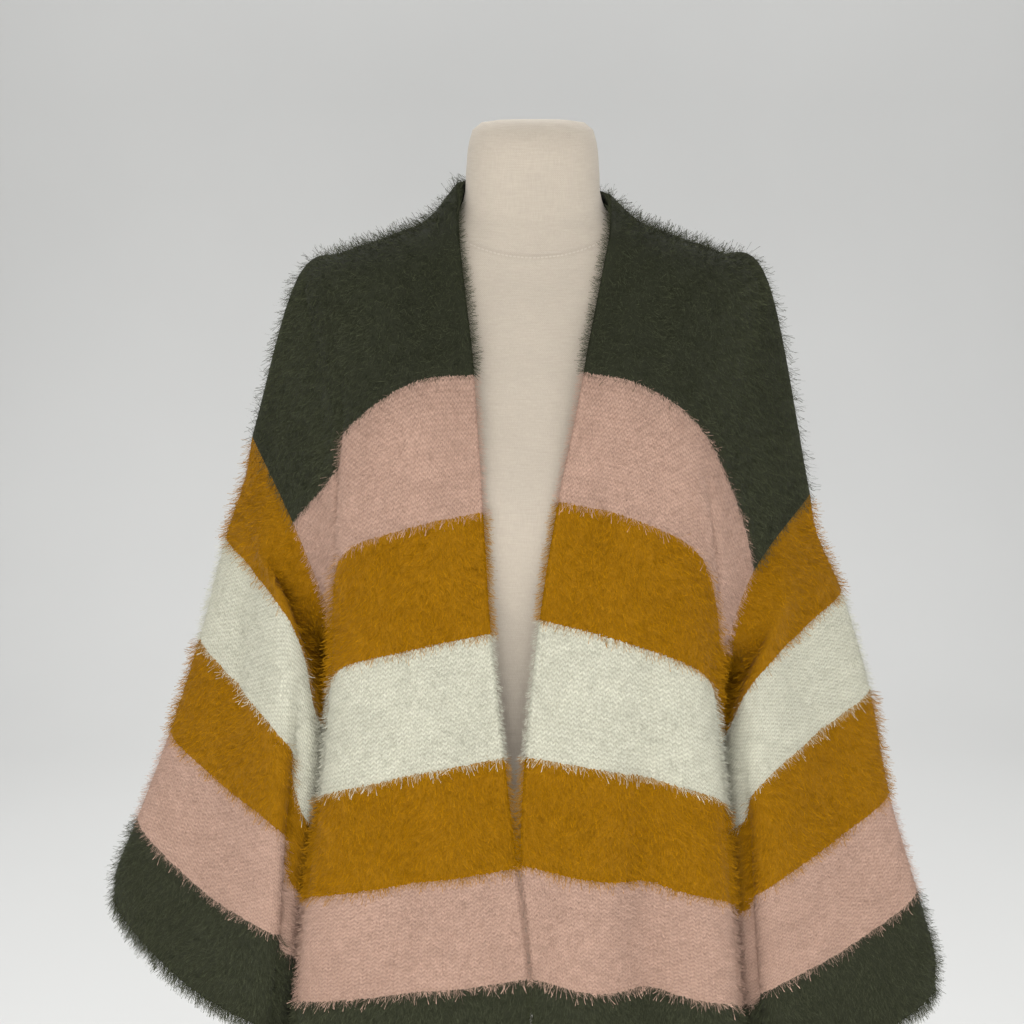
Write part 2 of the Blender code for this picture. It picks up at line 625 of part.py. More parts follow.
def piece_normals(grid, is_tube):
    """Unit normals at a grid's points, from the cells round each point."""
    rows, columns = grid.shape[:2]
    after = np.roll(grid, -1, axis=1)
    cells = np.cross(after[1:] - grid[:-1], after[:-1] - grid[1:])
    cells /= np.linalg.norm(cells, axis=2, keepdims=True)
    if not is_tube:
        cells[:, -1] = 0
    normals = np.zeros_like(grid)
    normals[:-1] += cells + np.roll(cells, 1, axis=1)
    normals[1:] += cells + np.roll(cells, 1, axis=1)
    return normals / np.linalg.norm(normals, axis=2, keepdims=True)


def shared_normals(grids):
    """Normals at every point of every grid, the same on both sides of a seam."""
    total = defaultdict(lambda: np.zeros(3))
    for grid, is_tube in grids.values():
        normals = piece_normals(grid, is_tube)
        for point, normal in zip(grid.reshape(-1, 3), normals.reshape(-1, 3)):
            total[corner_key(point)] += normal
    shared = {}
    for name, (grid, _) in grids.items():
        normals = np.array([[total[corner_key(point)] for point in row] for row in grid])
        shared[name] = normals / np.linalg.norm(normals, axis=2, keepdims=True)
    return shared


def cloth_tree(grids):
    """The inner faces of all the cloth, to measure distances to."""
    points, faces = [], []
    for grid, is_tube in grids.values():
        rows, columns = grid.shape[:2]
        index = len(points) + np.arange(rows * columns).reshape(rows, columns)
        points += [tuple(point) for point in grid.reshape(-1, 3)]
        faces += [corners[:3] for corners in cells_of(index, is_tube)]
        faces += [corners[2:] + corners[:1] for corners in cells_of(index, is_tube)]
    return BVHTree.FromPolygons(points, faces)


def cells_of(index, is_tube):
    """The four corners of each cell of a grid, in the order that faces away from the wearer."""
    rows, columns = index.shape
    cells = []
    for row in range(rows - 1):
        for column in range(columns if is_tube else columns - 1):
            after = (column + 1) % columns
            cell = [index[row, column], index[row + 1, column], index[row + 1, after], index[row, after]]
            cells.append([int(corner) for corner in cell])
    return cells


def wall_thickness(grid, normals, tree, sewn):
    """The wall at each point: the pile is pressed down where other cloth lies close to it."""
    wall = np.full(grid.shape[:2], WALLS[-1])
    at_seam = np.zeros(grid.shape[:2], bool)
    for border in sewn:
        at_seam[BORDER[border]] = True
    for place in np.ndindex(wall.shape):
        clear = SEAM_CLEAR if at_seam[place] else PILE_CLEAR
        for thickness in WALLS[SEAM_WALLS:] if at_seam[place] else WALLS:
            reach = grid[place] + normals[place] * 2 * thickness
            if tree.find_nearest(Vector(reach))[3] > clear * 2 * thickness:
                wall[place] = thickness
                break
    return wall


def add_cloth(name, grid, normals, wall, is_tube, borders, colour):
    """A closed wall: its inner points, its outer points and a rim along each border."""
    sewn, free = borders
    pinch = np.zeros(grid.shape[:2] + (1,))
    for border in free:
        pinch[BORDER[border]] = EDGE_PINCH
    inner = grid + normals * wall[..., None] * pinch
    outer = grid + normals * wall[..., None] * (1 - pinch)
    for border in sewn:
        line = grid[BORDER[border]]
        along = np.gradient(line, axis=0)
        if is_tube:
            along = (np.roll(line, -1, axis=0) - np.roll(line, 1, axis=0)) / 2
        step = np.cross(normals[BORDER[border]], along)
        step *= SEAM_GAP / 2 / np.linalg.norm(step, axis=-1, keepdims=True)
        step *= np.sign(np.sum(step * (grid[BESIDE[border]] - line)))
        inner[BORDER[border]] += step
        outer[BORDER[border]] += step
    rows, columns = grid.shape[:2]
    layer = rows * columns
    index = np.arange(layer).reshape(rows, columns)
    cells = cells_of(index, is_tube)
    keys = [corner_key(point) for point in grid.reshape(-1, 3)]
    faces = [[corner + layer for corner in cell] for cell in cells]
    faces += [cell[::-1] for cell in cells]
    rims = [index[0], index[-1, ::-1]]
    if is_tube:
        rims = [np.append(rim, rim[0]) for rim in rims]
    else:
        rims += [index[::-1, 0], index[:, -1]]
    for rim in rims:
        line = [int(corner) for corner in rim]
        for here, after in zip(line[:-1], line[1:]):
            # Both pieces of a seam divide its quads alike, so that they fit each other.
            if keys[here] < keys[after]:
                faces += [[here + layer, after + layer, here], [after + layer, after, here]]
            else:
                faces += [[here + layer, after + layer, after], [here + layer, after, here]]
    points = [*inner.reshape(-1, 3), *outer.reshape(-1, 3)]
    add_piece(name, points, faces, colour, 0.95)


def places(start, stop, cells, free_start=None, free_stop=None):
    """Even places from start to stop, with one more beside each end that is an open edge."""
    values = list(np.linspace(start, stop, cells + 1))
    if free_start:
        values.insert(1, start + free_start)
    if free_stop:
        values.insert(-1, stop - free_stop)
    return np.array(values)


def add_cardigan():
    step = EDGE_STEP / BAND
    upper = UNDERARM * np.linspace(0, 1, ARMHOLE_ROWS + 1) ** SHOULDER_CROWD
    lower = places(UNDERARM, BODY_STRIPES, SKIRT_ROWS, free_stop=step)
    stripe = np.concatenate([upper, lower[1:]])
    front = places(0, 1, PANEL_COLUMNS, free_start=EDGE_STEP / FRONT_WIDTH)
    neck = places(-NECK_HALF, NECK_HALF, NECK_COLUMNS)[1:-1]
    half = front + NECK_HALF
    back = np.concatenate([-half[::-1], neck, half])
    around = np.concatenate([upper / (2 * UNDERARM), 1 - upper[-2:0:-1] / (2 * UNDERARM)])
    cuff = SLEEVE_STRIPES * np.linspace(0, 1, SLEEVE_ROWS + 1) ** SHOULDER_CROWD
    cuff = np.insert(cuff, -1, SLEEVE_STRIPES - step)
    grids = {
        "cardigan_front_right": (front_grid("right", front, stripe), False),
        "cardigan_front_left": (front_grid("left", front, stripe), False),
        "cardigan_back": (back_grid(back, stripe), False),
        "cardigan_sleeve_right": (sleeve_grid("right", around, cuff), True),
        "cardigan_sleeve_left": (sleeve_grid("left", around, cuff), True),
    }
    neck_left = len(front) - 1
    neck_right = neck_left + NECK_COLUMNS
    close_columns = [
        [(-1, -2, -3)],
        [(0, 1, 2)],
        [(neck_left, neck_left - 1, neck_left - 2), (neck_right, neck_right + 1, neck_right + 2)],
    ]
    lift_spans([grid for grid, is_tube in grids.values() if not is_tube], close_columns)
    normals = shared_normals(grids)
    tree = cloth_tree(grids)
    for name, (grid, is_tube) in grids.items():
        borders, colour = BORDERS[name]
        wall = wall_thickness(grid, normals[name], tree, borders[0])
        add_cloth(name, grid, normals[name], wall, is_tube, borders, colour)


def clear_scene():
    for piece in list(bpy.data.objects):
        bpy.data.objects.remove(piece, do_unlink=True)


def main():
    clear_scene()
    add_torso()
    add_stand()
    add_cardigan()


main()
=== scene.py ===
"""An open-front cardigan of fluffy striped knit on a limbless dress form: its look.

Units are metres, and millimetres in the tables of the shapes. The front faces -Y, and right and
left are the wearer's. Each cloth piece is a grid of points whose rows are numbered in knitted
stripes from its seam at the top.
"""

from collections import defaultdict, namedtuple
from functools import reduce

import bpy
import numpy as np
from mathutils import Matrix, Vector
from mathutils.bvhtree import BVHTree


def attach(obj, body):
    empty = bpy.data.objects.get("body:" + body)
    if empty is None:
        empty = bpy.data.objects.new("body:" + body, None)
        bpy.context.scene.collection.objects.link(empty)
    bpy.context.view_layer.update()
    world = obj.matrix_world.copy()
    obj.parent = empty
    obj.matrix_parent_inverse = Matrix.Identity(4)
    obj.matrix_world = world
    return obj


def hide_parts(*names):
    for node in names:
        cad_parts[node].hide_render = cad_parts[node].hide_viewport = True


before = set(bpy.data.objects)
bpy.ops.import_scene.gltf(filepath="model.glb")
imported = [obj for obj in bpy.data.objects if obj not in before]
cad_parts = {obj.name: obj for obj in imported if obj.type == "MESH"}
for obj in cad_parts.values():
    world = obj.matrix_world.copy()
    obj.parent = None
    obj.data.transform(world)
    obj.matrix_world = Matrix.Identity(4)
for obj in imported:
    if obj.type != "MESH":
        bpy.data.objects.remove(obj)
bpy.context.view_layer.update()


# ---------------- driving dimensions


BAND = 0.118  # height of one knitted stripe
BODY_STRIPES = 7
SLEEVE_STRIPES = 5
UNDERARM = 2.5  # where the armhole ends, in stripes below the shoulder seam
FRONT_WIDTH = 0.33  # of a front, from its edge to the side seam
SLEEVE_GIRTH = 2 * UNDERARM * BAND
FORM_GAP = 0.0006  # clear height of the shoulder seam and the neck edge, which rest on the form
DRAPE_GAP = 0.0020  # least clear height of the cloth's other points
EASE_STRIPES = 0.09  # stripes over which the first gap grows to the second
TAUT_STRIPES = 0.85  # how far down from the shoulder seam the cloth is pulled taut
TAUT_PASSES = 30
TAUT_FADE = (0.60, 0.85)  # places across a front between which that pull fades
SEAM_BLEND = 0.6  # stripes below the shoulder seam over which a piece is led to it

TORSO_SIDES = 32  # of the torso that the cloth is laid on
TORSO_STEP = 0.036  # most height between two of its rings
FORM_SIDES = 120  # of the torso that is seen
FORM_STEP = 0.007
ROUNDNESS = 2.15  # exponent of the torso's sections: 2 is an ellipse

STAND_GAP = 0.0003  # clear distance between the parts of the stand
STAND_EDGE = 0.004  # radius of the base's rounded edges
POLE_RADIUS = 0.014
# The collar under the flange: how far out of the pole, and how far below the flange.
POLE_COLLAR = [(0.0, 0.031), (0.0032, 0.026), (0.004, 0.022), (0.004, 0.002)]
FLANGE_RADIUS = 0.045
FLANGE_HEIGHT = 0.012
FLANGE_EDGE = 0.001
BASE_RADIUS = 0.200
BASE_HEIGHT = 0.022
BASE_RIM = 78  # degrees of its rim's round, up to where the sloping top starts
BASE_CREST = 0.0004  # height from the end of that slope to the foot of the hub
BASE_HUB_RADIUS = 0.030
BASE_HUB_HEIGHT = 0.030

OUTER_FULLNESS = 0.55  # how far a sleeve is rounded out on each side of its outer fold:
INNER_FULLNESS = 0.56  # 0.5 keeps it straight and 0.71 makes it an ellipse
SLEEVE_CENTRE_Y = 0.020
SLEEVE_BACK_OUT = 0.014  # how much further out a sleeve's back-most line runs than its front-most
SIDE_SPREAD = 0.034  # how much further out the side seam is at the hem than at the underarm
FLANK_BULGE = 0.008  # how far the back stands out between its turn and the side seam
FLANK_SAG = 0.010  # how far a stripe line sags there
NECK_FORWARD = 0.003  # how far forwards of its centre one is below the neck's end,
NECK_DROP = 0.006  # and how much lower


# ---------------- the shapes, by section


def metres(rows):
    """A table in millimetres, in metres."""
    return np.array(rows) / 1000


# Sections of the torso from the bottom up: height, half width, reach to the front and the back.
TORSO = metres([
    (650, 158, 104, 116), (720, 169, 112, 126), (800, 168, 114, 122), (880, 149, 104, 104),
    (960, 124, 92, 84), (1030, 126, 100, 84), (1100, 140, 117, 92), (1165, 151, 127, 101),
    (1225, 160, 116, 107), (1275, 176, 102, 107), (1310, 190, 88, 101), (1337, 197, 77, 93),
    (1353, 194, 70, 86), (1361, 184, 66, 82), (1370, 158, 63, 77), (1379, 131, 60, 72),
    (1389, 103, 57, 66), (1398, 80, 55, 61), (1406, 67, 53, 58), (1418, 60, 52, 56),
    (1440, 57.5, 51, 55), (1466, 54.5, 49, 53), (1476, 51.5, 46, 50), (1482, 44, 39, 43),
    (1484, 30, 26, 29),
])

# Each stripe line of a front: its front edge, the breast, the round where it turns to the side,
# and the flank behind that round. The side seam comes from the armhole and the underarm.
FRONT_RIGHT = metres([
    ((-62.5, 0, 1430), (-98, 0, 1392), (-160, 0, 1370), (-207, 3, 1345)),
    ((-49, -109, 1288), (-98, -113, 1282), (-153, -97, 1240), (-182.5, -68, 1188)),
    ((-42, -127, 1178), (-100, -128, 1165), (-163, -102, 1128), (-175, -72, 1056)),
    ((-36, -131, 1068), (-106, -132, 1052), (-172, -104, 1017), (-183, -48, 945)),
    ((-25, -133, 951), (-103, -134, 934), (-186, -106, 897), (-193, -46, 850)),
    ((-13.5, -134, 836), (-102, -136, 820), (-204, -108, 786), (-208, -46, 738)),
    ((-2.5, -135, 718), (-104, -138, 702), (-217, -110, 671), (-221, -46, 625)),
    ((0, -135, 600), (-108, -140, 585), (-228, -112, 556), (-231, -46, 512)),
])
FRONT_LEFT = metres([
    ((65, 0, 1420), (100, 0, 1391), (160, 0, 1370), (208, 3, 1342)),
    ((41, -109, 1290), (90, -113, 1279), (140, -99, 1238), (179, -68, 1163)),
    ((21, -127, 1187), (80, -128, 1173), (146, -104, 1125), (169, -74, 1034)),
    ((6, -131, 1081), (78, -132, 1060), (154, -106, 1012), (173, -48, 922)),
    ((-6, -133, 952), (76, -134, 936), (169, -107, 893), (181, -46, 833)),
    ((-9.5, -134, 839), (74, -136, 821), (181, -109, 782), (191, -46, 720)),
    ((0.8, -135, 718), (78, -138, 702), (193, -111, 668), (202, -46, 607)),
    ((2, -135, 600), (80, -140, 587), (202, -113, 555), (211, -46, 494)),
])

# The armhole: its top on the outer line, two stripe lines in front and behind, the underarm.
Armhole = namedtuple("Armhole", "top front_1 front_2 back_1 back_2 underarm")
ARMHOLE_RIGHT = Armhole(*metres([
    (-257, 16, 1200), (-215, -40, 1136),
    (-184, -30, 1038), (-218, 75, 1132),
    (-190, 66, 1038), (-178, 20, 985),
]))
ARMHOLE_LEFT = Armhole(*metres([
    (261, 16, 1144), (203.5, -38, 1089.5),
    (180, -32, 1012), (212, 75, 1084),
    (186, 66, 1012), (174, 20, 960),
]))

# Stripe lines 1 to 7 of the back, the same on both sides: half its width at the turn to the
# side, its reach to the back at the centre and at that turn, its height at the centre and
# how much lower the turn is. Line 0 runs round the neck and along the shoulder seams.
BACK_NECK = (0.000, 0.069, 1.434)
BACK = metres([
    (158, 118, 104, 1318, 75), (162, 129, 114, 1202, 96),
    (170, 133, 116, 1084, 90), (183, 135, 118, 966, 80),
    (198, 137, 118, 848, 70), (210, 139, 120, 730, 66),
    (220, 141, 122, 612, 62),
])

# Each stripe line of a sleeve: the outer fold, the front-most point, the point next to the
# body's side, the line that runs down from the underarm, and how far the stripe sags between
# the first two. The back of the sleeve mirrors its front about the outer fold.
SLEEVE_RIGHT = [
    ((-287, 15, 1103), (-219, -75, 1056), (-200, -60, 960), (-204, 20, 900), 0),
    ((-319, 12, 1001), (-229, -86, 942), (-209, -63, 855), (-218, 20, 812), 3),
    ((-356, 10, 899), (-239, -91, 850), (-225, -62, 769), (-230, 20, 724), 8),
    ((-398, 8, 799), (-252, -92, 735), (-236, -64, 690), (-242, 20, 636), 18),
    ((-439, 6, 708), (-270, -92, 626), (-248, -66, 600), (-252, 20, 548), 24),
]
SLEEVE_LEFT = [
    ((297, 14, 1048), (207, -71, 997), (191, -52, 934), (195, 18, 876), 0),
    ((331, 6, 948), (219, -79, 896), (200, -58, 830), (206, 20, 789), 0),
    ((355, -12, 842), (231, -84, 783), (208, -62, 737), (218, 20, 702), 5),
    ((390, -24, 736), (245, -86, 670), (221, -64, 628), (227, 20, 615), 9),
    ((424, -40, 632), (259, -86, 559), (233, -66, 540), (236, 20, 528), 12),
]

# How the sleeve leaves the armhole over its first LEAVE_STRIPES: at places around it, from its
# top by the front and the underarm to the top again, the steps outwards, away from the sleeve's
# middle and down. It goes nearly straight down at the top, and out in an arch at the underarm.
LEAVE_STRIPES = 0.22
LEAVE_AT = (0, 0.25, 0.385, 0.5, 0.75, 1)
LEAVE = metres([(5, 0, 25), (21, 3, 15), (16, 3, 10), (23, 0, 6), (21, 3, 15), (5, 0, 25)])

# Soft vertical folds: where across the piece, how wide and how deep (a ridge is negative),
# and the stripe lines between which the fold grows from nothing to its full depth.
Fold = namedtuple("Fold", "across width depth starts full")
FRONT_FOLDS = {
    "right": [Fold(0.30, 0.10, 0.004, 2.5, 7.0)],
    "left": [Fold(0.36, 0.075, 0.017, 2.8, 6.6), Fold(0.17, 0.09, -0.004, 3.0, 6.0)],
}
BACK_FOLDS = [
    Fold(-0.72, 0.10, 0.015, 1.6, 6.0),
    Fold(-0.40, 0.09, -0.008, 2.2, 6.5),
    Fold(-0.12, 0.11, 0.014, 1.8, 6.4),
    Fold(0.20, 0.10, -0.007, 2.6, 6.6),
    Fold(0.46, 0.10, 0.013, 1.9, 6.2),
    Fold(0.76, 0.09, 0.011, 2.4, 6.8),
]
HEM_CORNER = Fold(0.0, 0.055, 0.017, 4.6, 5.3)  # where the outer fold meets the hem
SLEEVE_FOLDS = {
    "right": [Fold(0.300, 0.030, 0.014, 1.0, 2.3), Fold(0.71, 0.045, 0.012, 0.9, 2.8), HEM_CORNER],
    "left": [Fold(0.325, 0.038, 0.010, 0.9, 2.6), Fold(0.70, 0.042, 0.012, 0.8, 2.6), HEM_CORNER],
}

# Places across a front, from its front edge at 0 to the side seam at 1. The back has the same
# places on each side, and its neck edge between them.
ACROSS_FRONT = [0.0, 0.27, 0.55, 0.79, 1.0]
NECK_HALF = 0.20
ACROSS_BACK = [0.0, NECK_HALF, NECK_HALF + 0.55, NECK_HALF + 0.79, NECK_HALF + 1.0]
ROUND_STEPS = 8  # control points round a sleeve
WRAP = 3  # how many of them are repeated past each end, so that the curve closes smoothly

SHAPES = {"right": (FRONT_RIGHT, ARMHOLE_RIGHT), "left": (FRONT_LEFT, ARMHOLE_LEFT)}
SLEEVES = {"right": SLEEVE_RIGHT, "left": SLEEVE_LEFT}


# ---------------- the grids


SHELL_COLUMNS = 46  # cells across a front
SHELL_ARMHOLE_ROWS = 40  # cells from the shoulder seam to the underarm
SHELL_SKIRT_ROWS = 72  # cells from the underarm to the hem
SHELL_NECK_COLUMNS = 18
SHELL_SLEEVE_ROWS = 80
ARMHOLE_CROWD = 1.12  # how the rows crowd towards the shoulder seam: 1 is evenly
SLEEVE_CROWD = 1.08  # and a sleeve's towards the armhole
SHELL_INNER = 0.0006  # from the cloth's grid to the inner face of the knit
SHELL_OUTER = 0.0032  # and to its outer face, where the pile starts
EDGE_ROLL = 0.0035  # how far from a free edge the knit is rounded
EDGE_IN = 0.3  # how far its faces draw together there, as a share of its thickness

CREASE_CLEAR = 0.02  # distance from a seam over which a crease grows to its depth
CREASE_FADE = 0.7  # how it fades towards its ends: less than 1 keeps it deep for longer

# Each cloth piece: its slot, the size of its flat cut, how many strands lie on its knit and
# how many stand out of it, and its free edges. Then its creases, finer than the solids' folds:
# each runs from one place to another, as across, stripe, across, stripe, width and depth.
Piece = namedtuple("Piece", "slot flat strands free_edges creases")
FRONT_FLAT = (FRONT_WIDTH, BODY_STRIPES * BAND)
BACK_FLAT = (2 * FRONT_WIDTH * (1 + NECK_HALF), BODY_STRIPES * BAND)
SLEEVE_FLAT = (SLEEVE_GIRTH, SLEEVE_STRIPES * BAND)
PIECES = {
    "cardigan_front_right": Piece(
        "striped_knit_front", FRONT_FLAT, (62000, 82000), ("bottom", "last"),
        [
            (0.57, 0.6, 0.81, 2.3, 0.0085, 0.0075),
            (0.3, 3.2, 0.27, 7.2, 0.014, 0.0025),
        ],
    ),
    "cardigan_front_left": Piece(
        "striped_knit_front", FRONT_FLAT, (62000, 82000), ("bottom", "first"),
        [
            (0.56, 1.15, 0.8, 2.1, 0.01, 0.0035),
            (0.34, 2.8, 0.365, 7.3, 0.012, 0.004),
        ],
    ),
    "cardigan_back": Piece(
        "striped_knit_back", BACK_FLAT, (70000, 88000), ("bottom",),
        [
            (-0.82, 1.2, -0.64, 4.6, 0.016, 0.0045),
            (-0.38, 2.6, -0.43, 7.3, 0.02, 0.004),
            (0.06, 0.7, 0.13, 3.9, 0.018, 0.0025),
            (0.31, 3.1, 0.26, 7.4, 0.015, 0.0035),
            (0.86, 1.5, 0.71, 3.8, 0.013, 0.005),
        ],
    ),
    "cardigan_sleeve_right": Piece(
        "striped_knit_sleeve", SLEEVE_FLAT, (58000, 88000), ("bottom",),
        [
            (0.09, 0.9, 0.15, 2.7, 0.012, 0.0025),
            (0.79, 0.6, 0.85, 3.4, 0.014, 0.004),
            (0.62, 1.8, 0.64, 5.2, 0.011, 0.0035),
        ],
    ),
    "cardigan_sleeve_left": Piece(
        "striped_knit_sleeve", SLEEVE_FLAT, (58000, 88000), ("bottom",),
        [
            (0.18, 0.8, 0.12, 2.3, 0.013, 0.0025),
            (0.83, 1.1, 0.78, 4.1, 0.015, 0.004),
            (0.6, 0.9, 0.64, 3.1, 0.012, 0.0035),
        ],
    ),
}
EDGES = {"bottom": np.s_[-1], "first": np.s_[:, 0], "last": np.s_[:, -1]}

# A cloth piece: its grid, its rows' stripe numbers, its columns' places across, whether it is a
# tube, and how many metres of cloth there are from place 0 to place 1.
Cloth = namedtuple("Cloth", "name grid stripe across is_tube width")


# ---------------- the stripes and the pile


BODY_BANDS = ["olive", "blush", "mustard", "cream", "mustard", "blush", "olive"]
SLEEVE_BANDS = ["mustard", "cream", "mustard", "blush", "olive"]

# Each yarn's colour, how long its pile stands, how far its stitches show through in relief and
# in painted shade, and how much painted light the strands get at their tips.
Yarn = namedtuple("Yarn", "colour pile stitches tip")
YARNS = {
    "olive": Yarn((0.0268, 0.0292, 0.0162), 1.0, 0.20, 1.40),
    "blush": Yarn((0.402, 0.262, 0.200), 0.55, 1.00, 0.40),
    "mustard": Yarn((0.272, 0.122, 0.001), 0.95, 0.30, 0.50),
    "cream": Yarn((0.500, 0.490, 0.395), 0.50, 1.00, 0.30),
}
STITCH_WIDTH, STITCH_HEIGHT = 0.0052, 0.0044
STITCH_SLANT = 1.1  # stitch heights that a row slants by, for each stitch width

# Where the stripes slip past a fold that hides some cloth, in stripes: on the right sleeve at
# each stripe line, and on the right front past its first crease.
SLEEVE_SLIP_AT = (0.3, 1.0, 2.0, 3.0, 4.0, 5.0)
SLEEVE_SLIP = (0.0, 0.15, 0.27, 0.22, 0.06, 0.0)
SLEEVE_SLIP_STARTS = (0.30, 0.345)  # places around the sleeve over which the slip starts,
SLEEVE_SLIP_EASES = (0.345, 0.40)  # over which it falls by SLEEVE_SLIP_EASE of itself,
SLEEVE_SLIP_EASE = 0.6
SLEEVE_SLIP_ENDS = (0.55, 0.75)  # and over which it ends
FRONT_SLIP = 0.11
FRONT_SLIP_STARTS = (-0.02, 0.01)  # places across, from the crease, over which it starts,
FRONT_SLIP_ENDS = (0.62, 1.02)  # places across over which it ends,
FRONT_SLIP_LAST = (1.35, 1.60)  # and stripe numbers over which it ends

# How long and how wide a strand is, the share of its length that it rises from the knit, how
# much its direction strays, how far it hangs, and the share that is brushed open at the tip.
Kind = namedtuple("Kind", "length width lift spread droop brushed")
LYING = Kind((0.0055, 0.0095), (0.00045, 0.00080), (0.06, 0.42), 0.75, 0.10, 0.0)
STANDING = Kind((0.0080, 0.0145), (0.00028, 0.00046), (0.35, 1.00), 0.75, 0.15, 0.50)
HEM_FRINGE = Kind((0.0090, 0.0160), (0.00026, 0.00042), (-0.10, 0.60), 0.40, 0.18, 0.35)
FRONT_FRINGE = Kind((0.0060, 0.0105), (0.00022, 0.00036), (0.15, 0.80), 0.40, 0.10, 0.50)
EDGE_STRANDS = 12000  # how many a fringe has along each metre of a free edge
EDGE_DENSITY = {"bottom": 1.0, "first": 0.55, "last": 0.55}
RANDOM_SEED = 20
HASH = (12.9898, 78.233, 37.719, 43758.5453)  # uneven numbers that scatter whole ones

ROOT_DEPTH = 0.85  # where a strand starts, as a share of the height of the knit's outer face
STRIPE_STRAY = 0.009  # stripes by which a strand's colour strays over a stripe's edge
FIRST_STRIPE = 0.001  # least stripe number of a strand
CLUMP = 0.006  # size of the tufts that the strands draw together in
CLUMP_PULL = 28  # how much they draw together, for each metre from the tuft's centre
CLUMP_TURN = 0.5  # most angle between two tufts, in radians
# Slow turns of the pile: the angle, its wave's radians a metre across and down, and its start.
SWIRLS = [(0.42, 61, 23, 0.0), (0.34, 37, -47, 1.7)]
FAN = 0.45  # how much a fringe spreads,
FAN_DROP = 0.25  # and how much it leans down
PILE_LENGTH = (0.4, 0.6)  # a strand's length for no pile, and what the yarn's pile adds
PILE_WIDTH = (0.55, 0.45)  # and its width
FACE_OUT = 0.8  # how much a strand's flat side faces out of the cloth
# The shade over a stitch is painted: painted shade over the knit's gaps and painted light over its
# loops.
STRAND_SHADE = 0.20  # how much the shade differs from strand to strand,
CLUMP_SHADE = 0.14  # from tuft to tuft,
PAINTED_STITCH_SHADING = 0.42  # and over a stitch
LIE_STRAY = 0.20  # how much the light on a strand strays from the light on the cloth,
LIE_LEAN = 0.30  # and how much of its own direction it has


# ---------------- the surfaces


LINEN_COLOUR = (0.405, 0.354, 0.290)
STEEL_COLOUR = (0.72, 0.70, 0.66)
FLOOR_COLOUR = (0.60, 0.60, 0.59)

# A noise, and the least and the most that it makes of what it is used for.
Noise = namedtuple("Noise", "scale detail roughness low high")
KNIT_EDGE = Noise(420.0, 1.0, 0.5, -0.025, 0.025)  # of a stripe's ragged edge, in stripes
KNIT_FIBRE = Noise(900.0, 2.0, 0.6, 0.82, 1.12)
KNIT_CLOUDS = Noise(28.0, 2.0, 0.5, 0.94, 1.05)
LINEN_THREAD = Noise(1.0, 2.0, 0.6, 0.95, 1.05)
LINEN_CLOUDS = Noise(14.0, 2.0, 0.5, 0.97, 1.03)
STEEL_CLOUDS = Noise(9.0, 3.0, 0.6, 0.96, 1.03)
STEEL_GLOSS = Noise(60.0, 2.0, 0.5, 0.34, 0.46)
STEEL_PEEL = Noise(700.0, 1.0, 0.5, 0.0, 1.0)
FLOOR_CLOUDS = Noise(1.5, 2.0, 0.5, 0.985, 1.015)
NOISE_RANGE = (0.3, 0.7)  # where most of a noise's values are

KNIT_LOOPS = 0.30  # height of a stitch's loops,
KNIT_GAPS = 0.20  # of the columns between the gaps,
KNIT_FUZZ = 0.4  # and of the fibres
# Painted shade and painted light of the knit's relief:
PAINTED_KNIT_SHADING = (0.66, 1.15)  # how dark the knit is in a gap, and how light on a loop
PILE_SHADES = (0.68, 1.28)  # how dark and how light the strands are
# Painted shade at the strands' roots, deep in the pile:
PAINTED_ROOT_SHADE = 0.82  # how dark they are at the root

LINEN_WAVES = 3900.0  # of the weave, in radians a metre
LINEN_SHADES = (0.96, 1.03)
SLUB_SCALES = [(90.0, 90.0, 1400.0), (1400.0, 1400.0, 90.0)]  # of the weft and of the warp
NECK_SEAM_Z = 1.386  # height of the neck's seam, which rises to the back and to the sides
NECK_SEAM_SLOPE = 0.163
NECK_SEAM_CURVE = 3.1
NECK_RADIUS = 0.06
SEAM_SPAN = (-0.018, 0.020)  # heights round it where the torso has finer rings
SEAM_STEP = 0.0013
SEAM_RIDGE = 0.0006
SEAM_WIDTH = 0.0012
SEAM_WAVES = 1900.0  # of its row of stitches, in radians a metre
SEAM_DASH = (-0.9, -0.2)  # part of a wave over which a stitch starts
SEAM_THREAD = (0.0004, 0.0008)  # distances from the seam over which the thread ends,
SEAM_SHADOW = (0.0006, 0.0035)  # and its shadow
SEAM_SHADE = 0.90
THREAD_SHADE = 1.22


def smooth_curve(knots, points, at):
    """The smooth curve through points, which stand at increasing knots, read at `at`."""
    knots = np.asarray(knots, float)
    points = np.asarray(points, float)
    at = np.asarray(at, float)
    spans = np.diff(knots)
    shape = (-1,) + (1,) * (points.ndim - 1)
    slopes = np.diff(points, axis=0) / spans.reshape(shape)
    tangents = np.empty_like(points)
    tangents[0], tangents[-1] = slopes[0], slopes[-1]
    before, after = spans[:-1].reshape(shape), spans[1:].reshape(shape)
    tangents[1:-1] = (slopes[:-1] * after + slopes[1:] * before) / (before + after)
    cell = np.clip(np.searchsorted(knots, at, side="right") - 1, 0, len(spans) - 1)
    span = spans[cell].reshape(shape)
    t = ((at - knots[cell]) / spans[cell]).reshape(shape)
    start, end = points[cell], points[cell + 1]
    return (
        (2 * t**3 - 3 * t**2 + 1) * start
        + (t**3 - 2 * t**2 + t) * span * tangents[cell]
        + (3 * t**2 - 2 * t**3) * end
        + (t**3 - t**2) * span * tangents[cell + 1]
    )


def ramp(value, low, high):
    """0 below low, 1 above high, and an eased rise between them."""
    t = np.clip((value - low) / (high - low), 0, 1)
    return t * t * (3 - 2 * t)


def unit(vectors):
    return vectors / np.linalg.norm(vectors, axis=-1, keepdims=True)


# ---------------- the dress form


def torso_sections(step, extra=()):
    """The torso's sections, with more between each pair that is far apart, and extra heights."""
    heights = [TORSO[0, 0], *extra]
    for low, high in zip(TORSO[:-1, 0], TORSO[1:, 0]):
        count = max(1, int(round((high - low) / step)))
        heights += [low + (high - low) * number / count for number in range(1, count + 1)]
    return smooth_curve(TORSO[:, 0], TORSO, sorted(set(heights)))


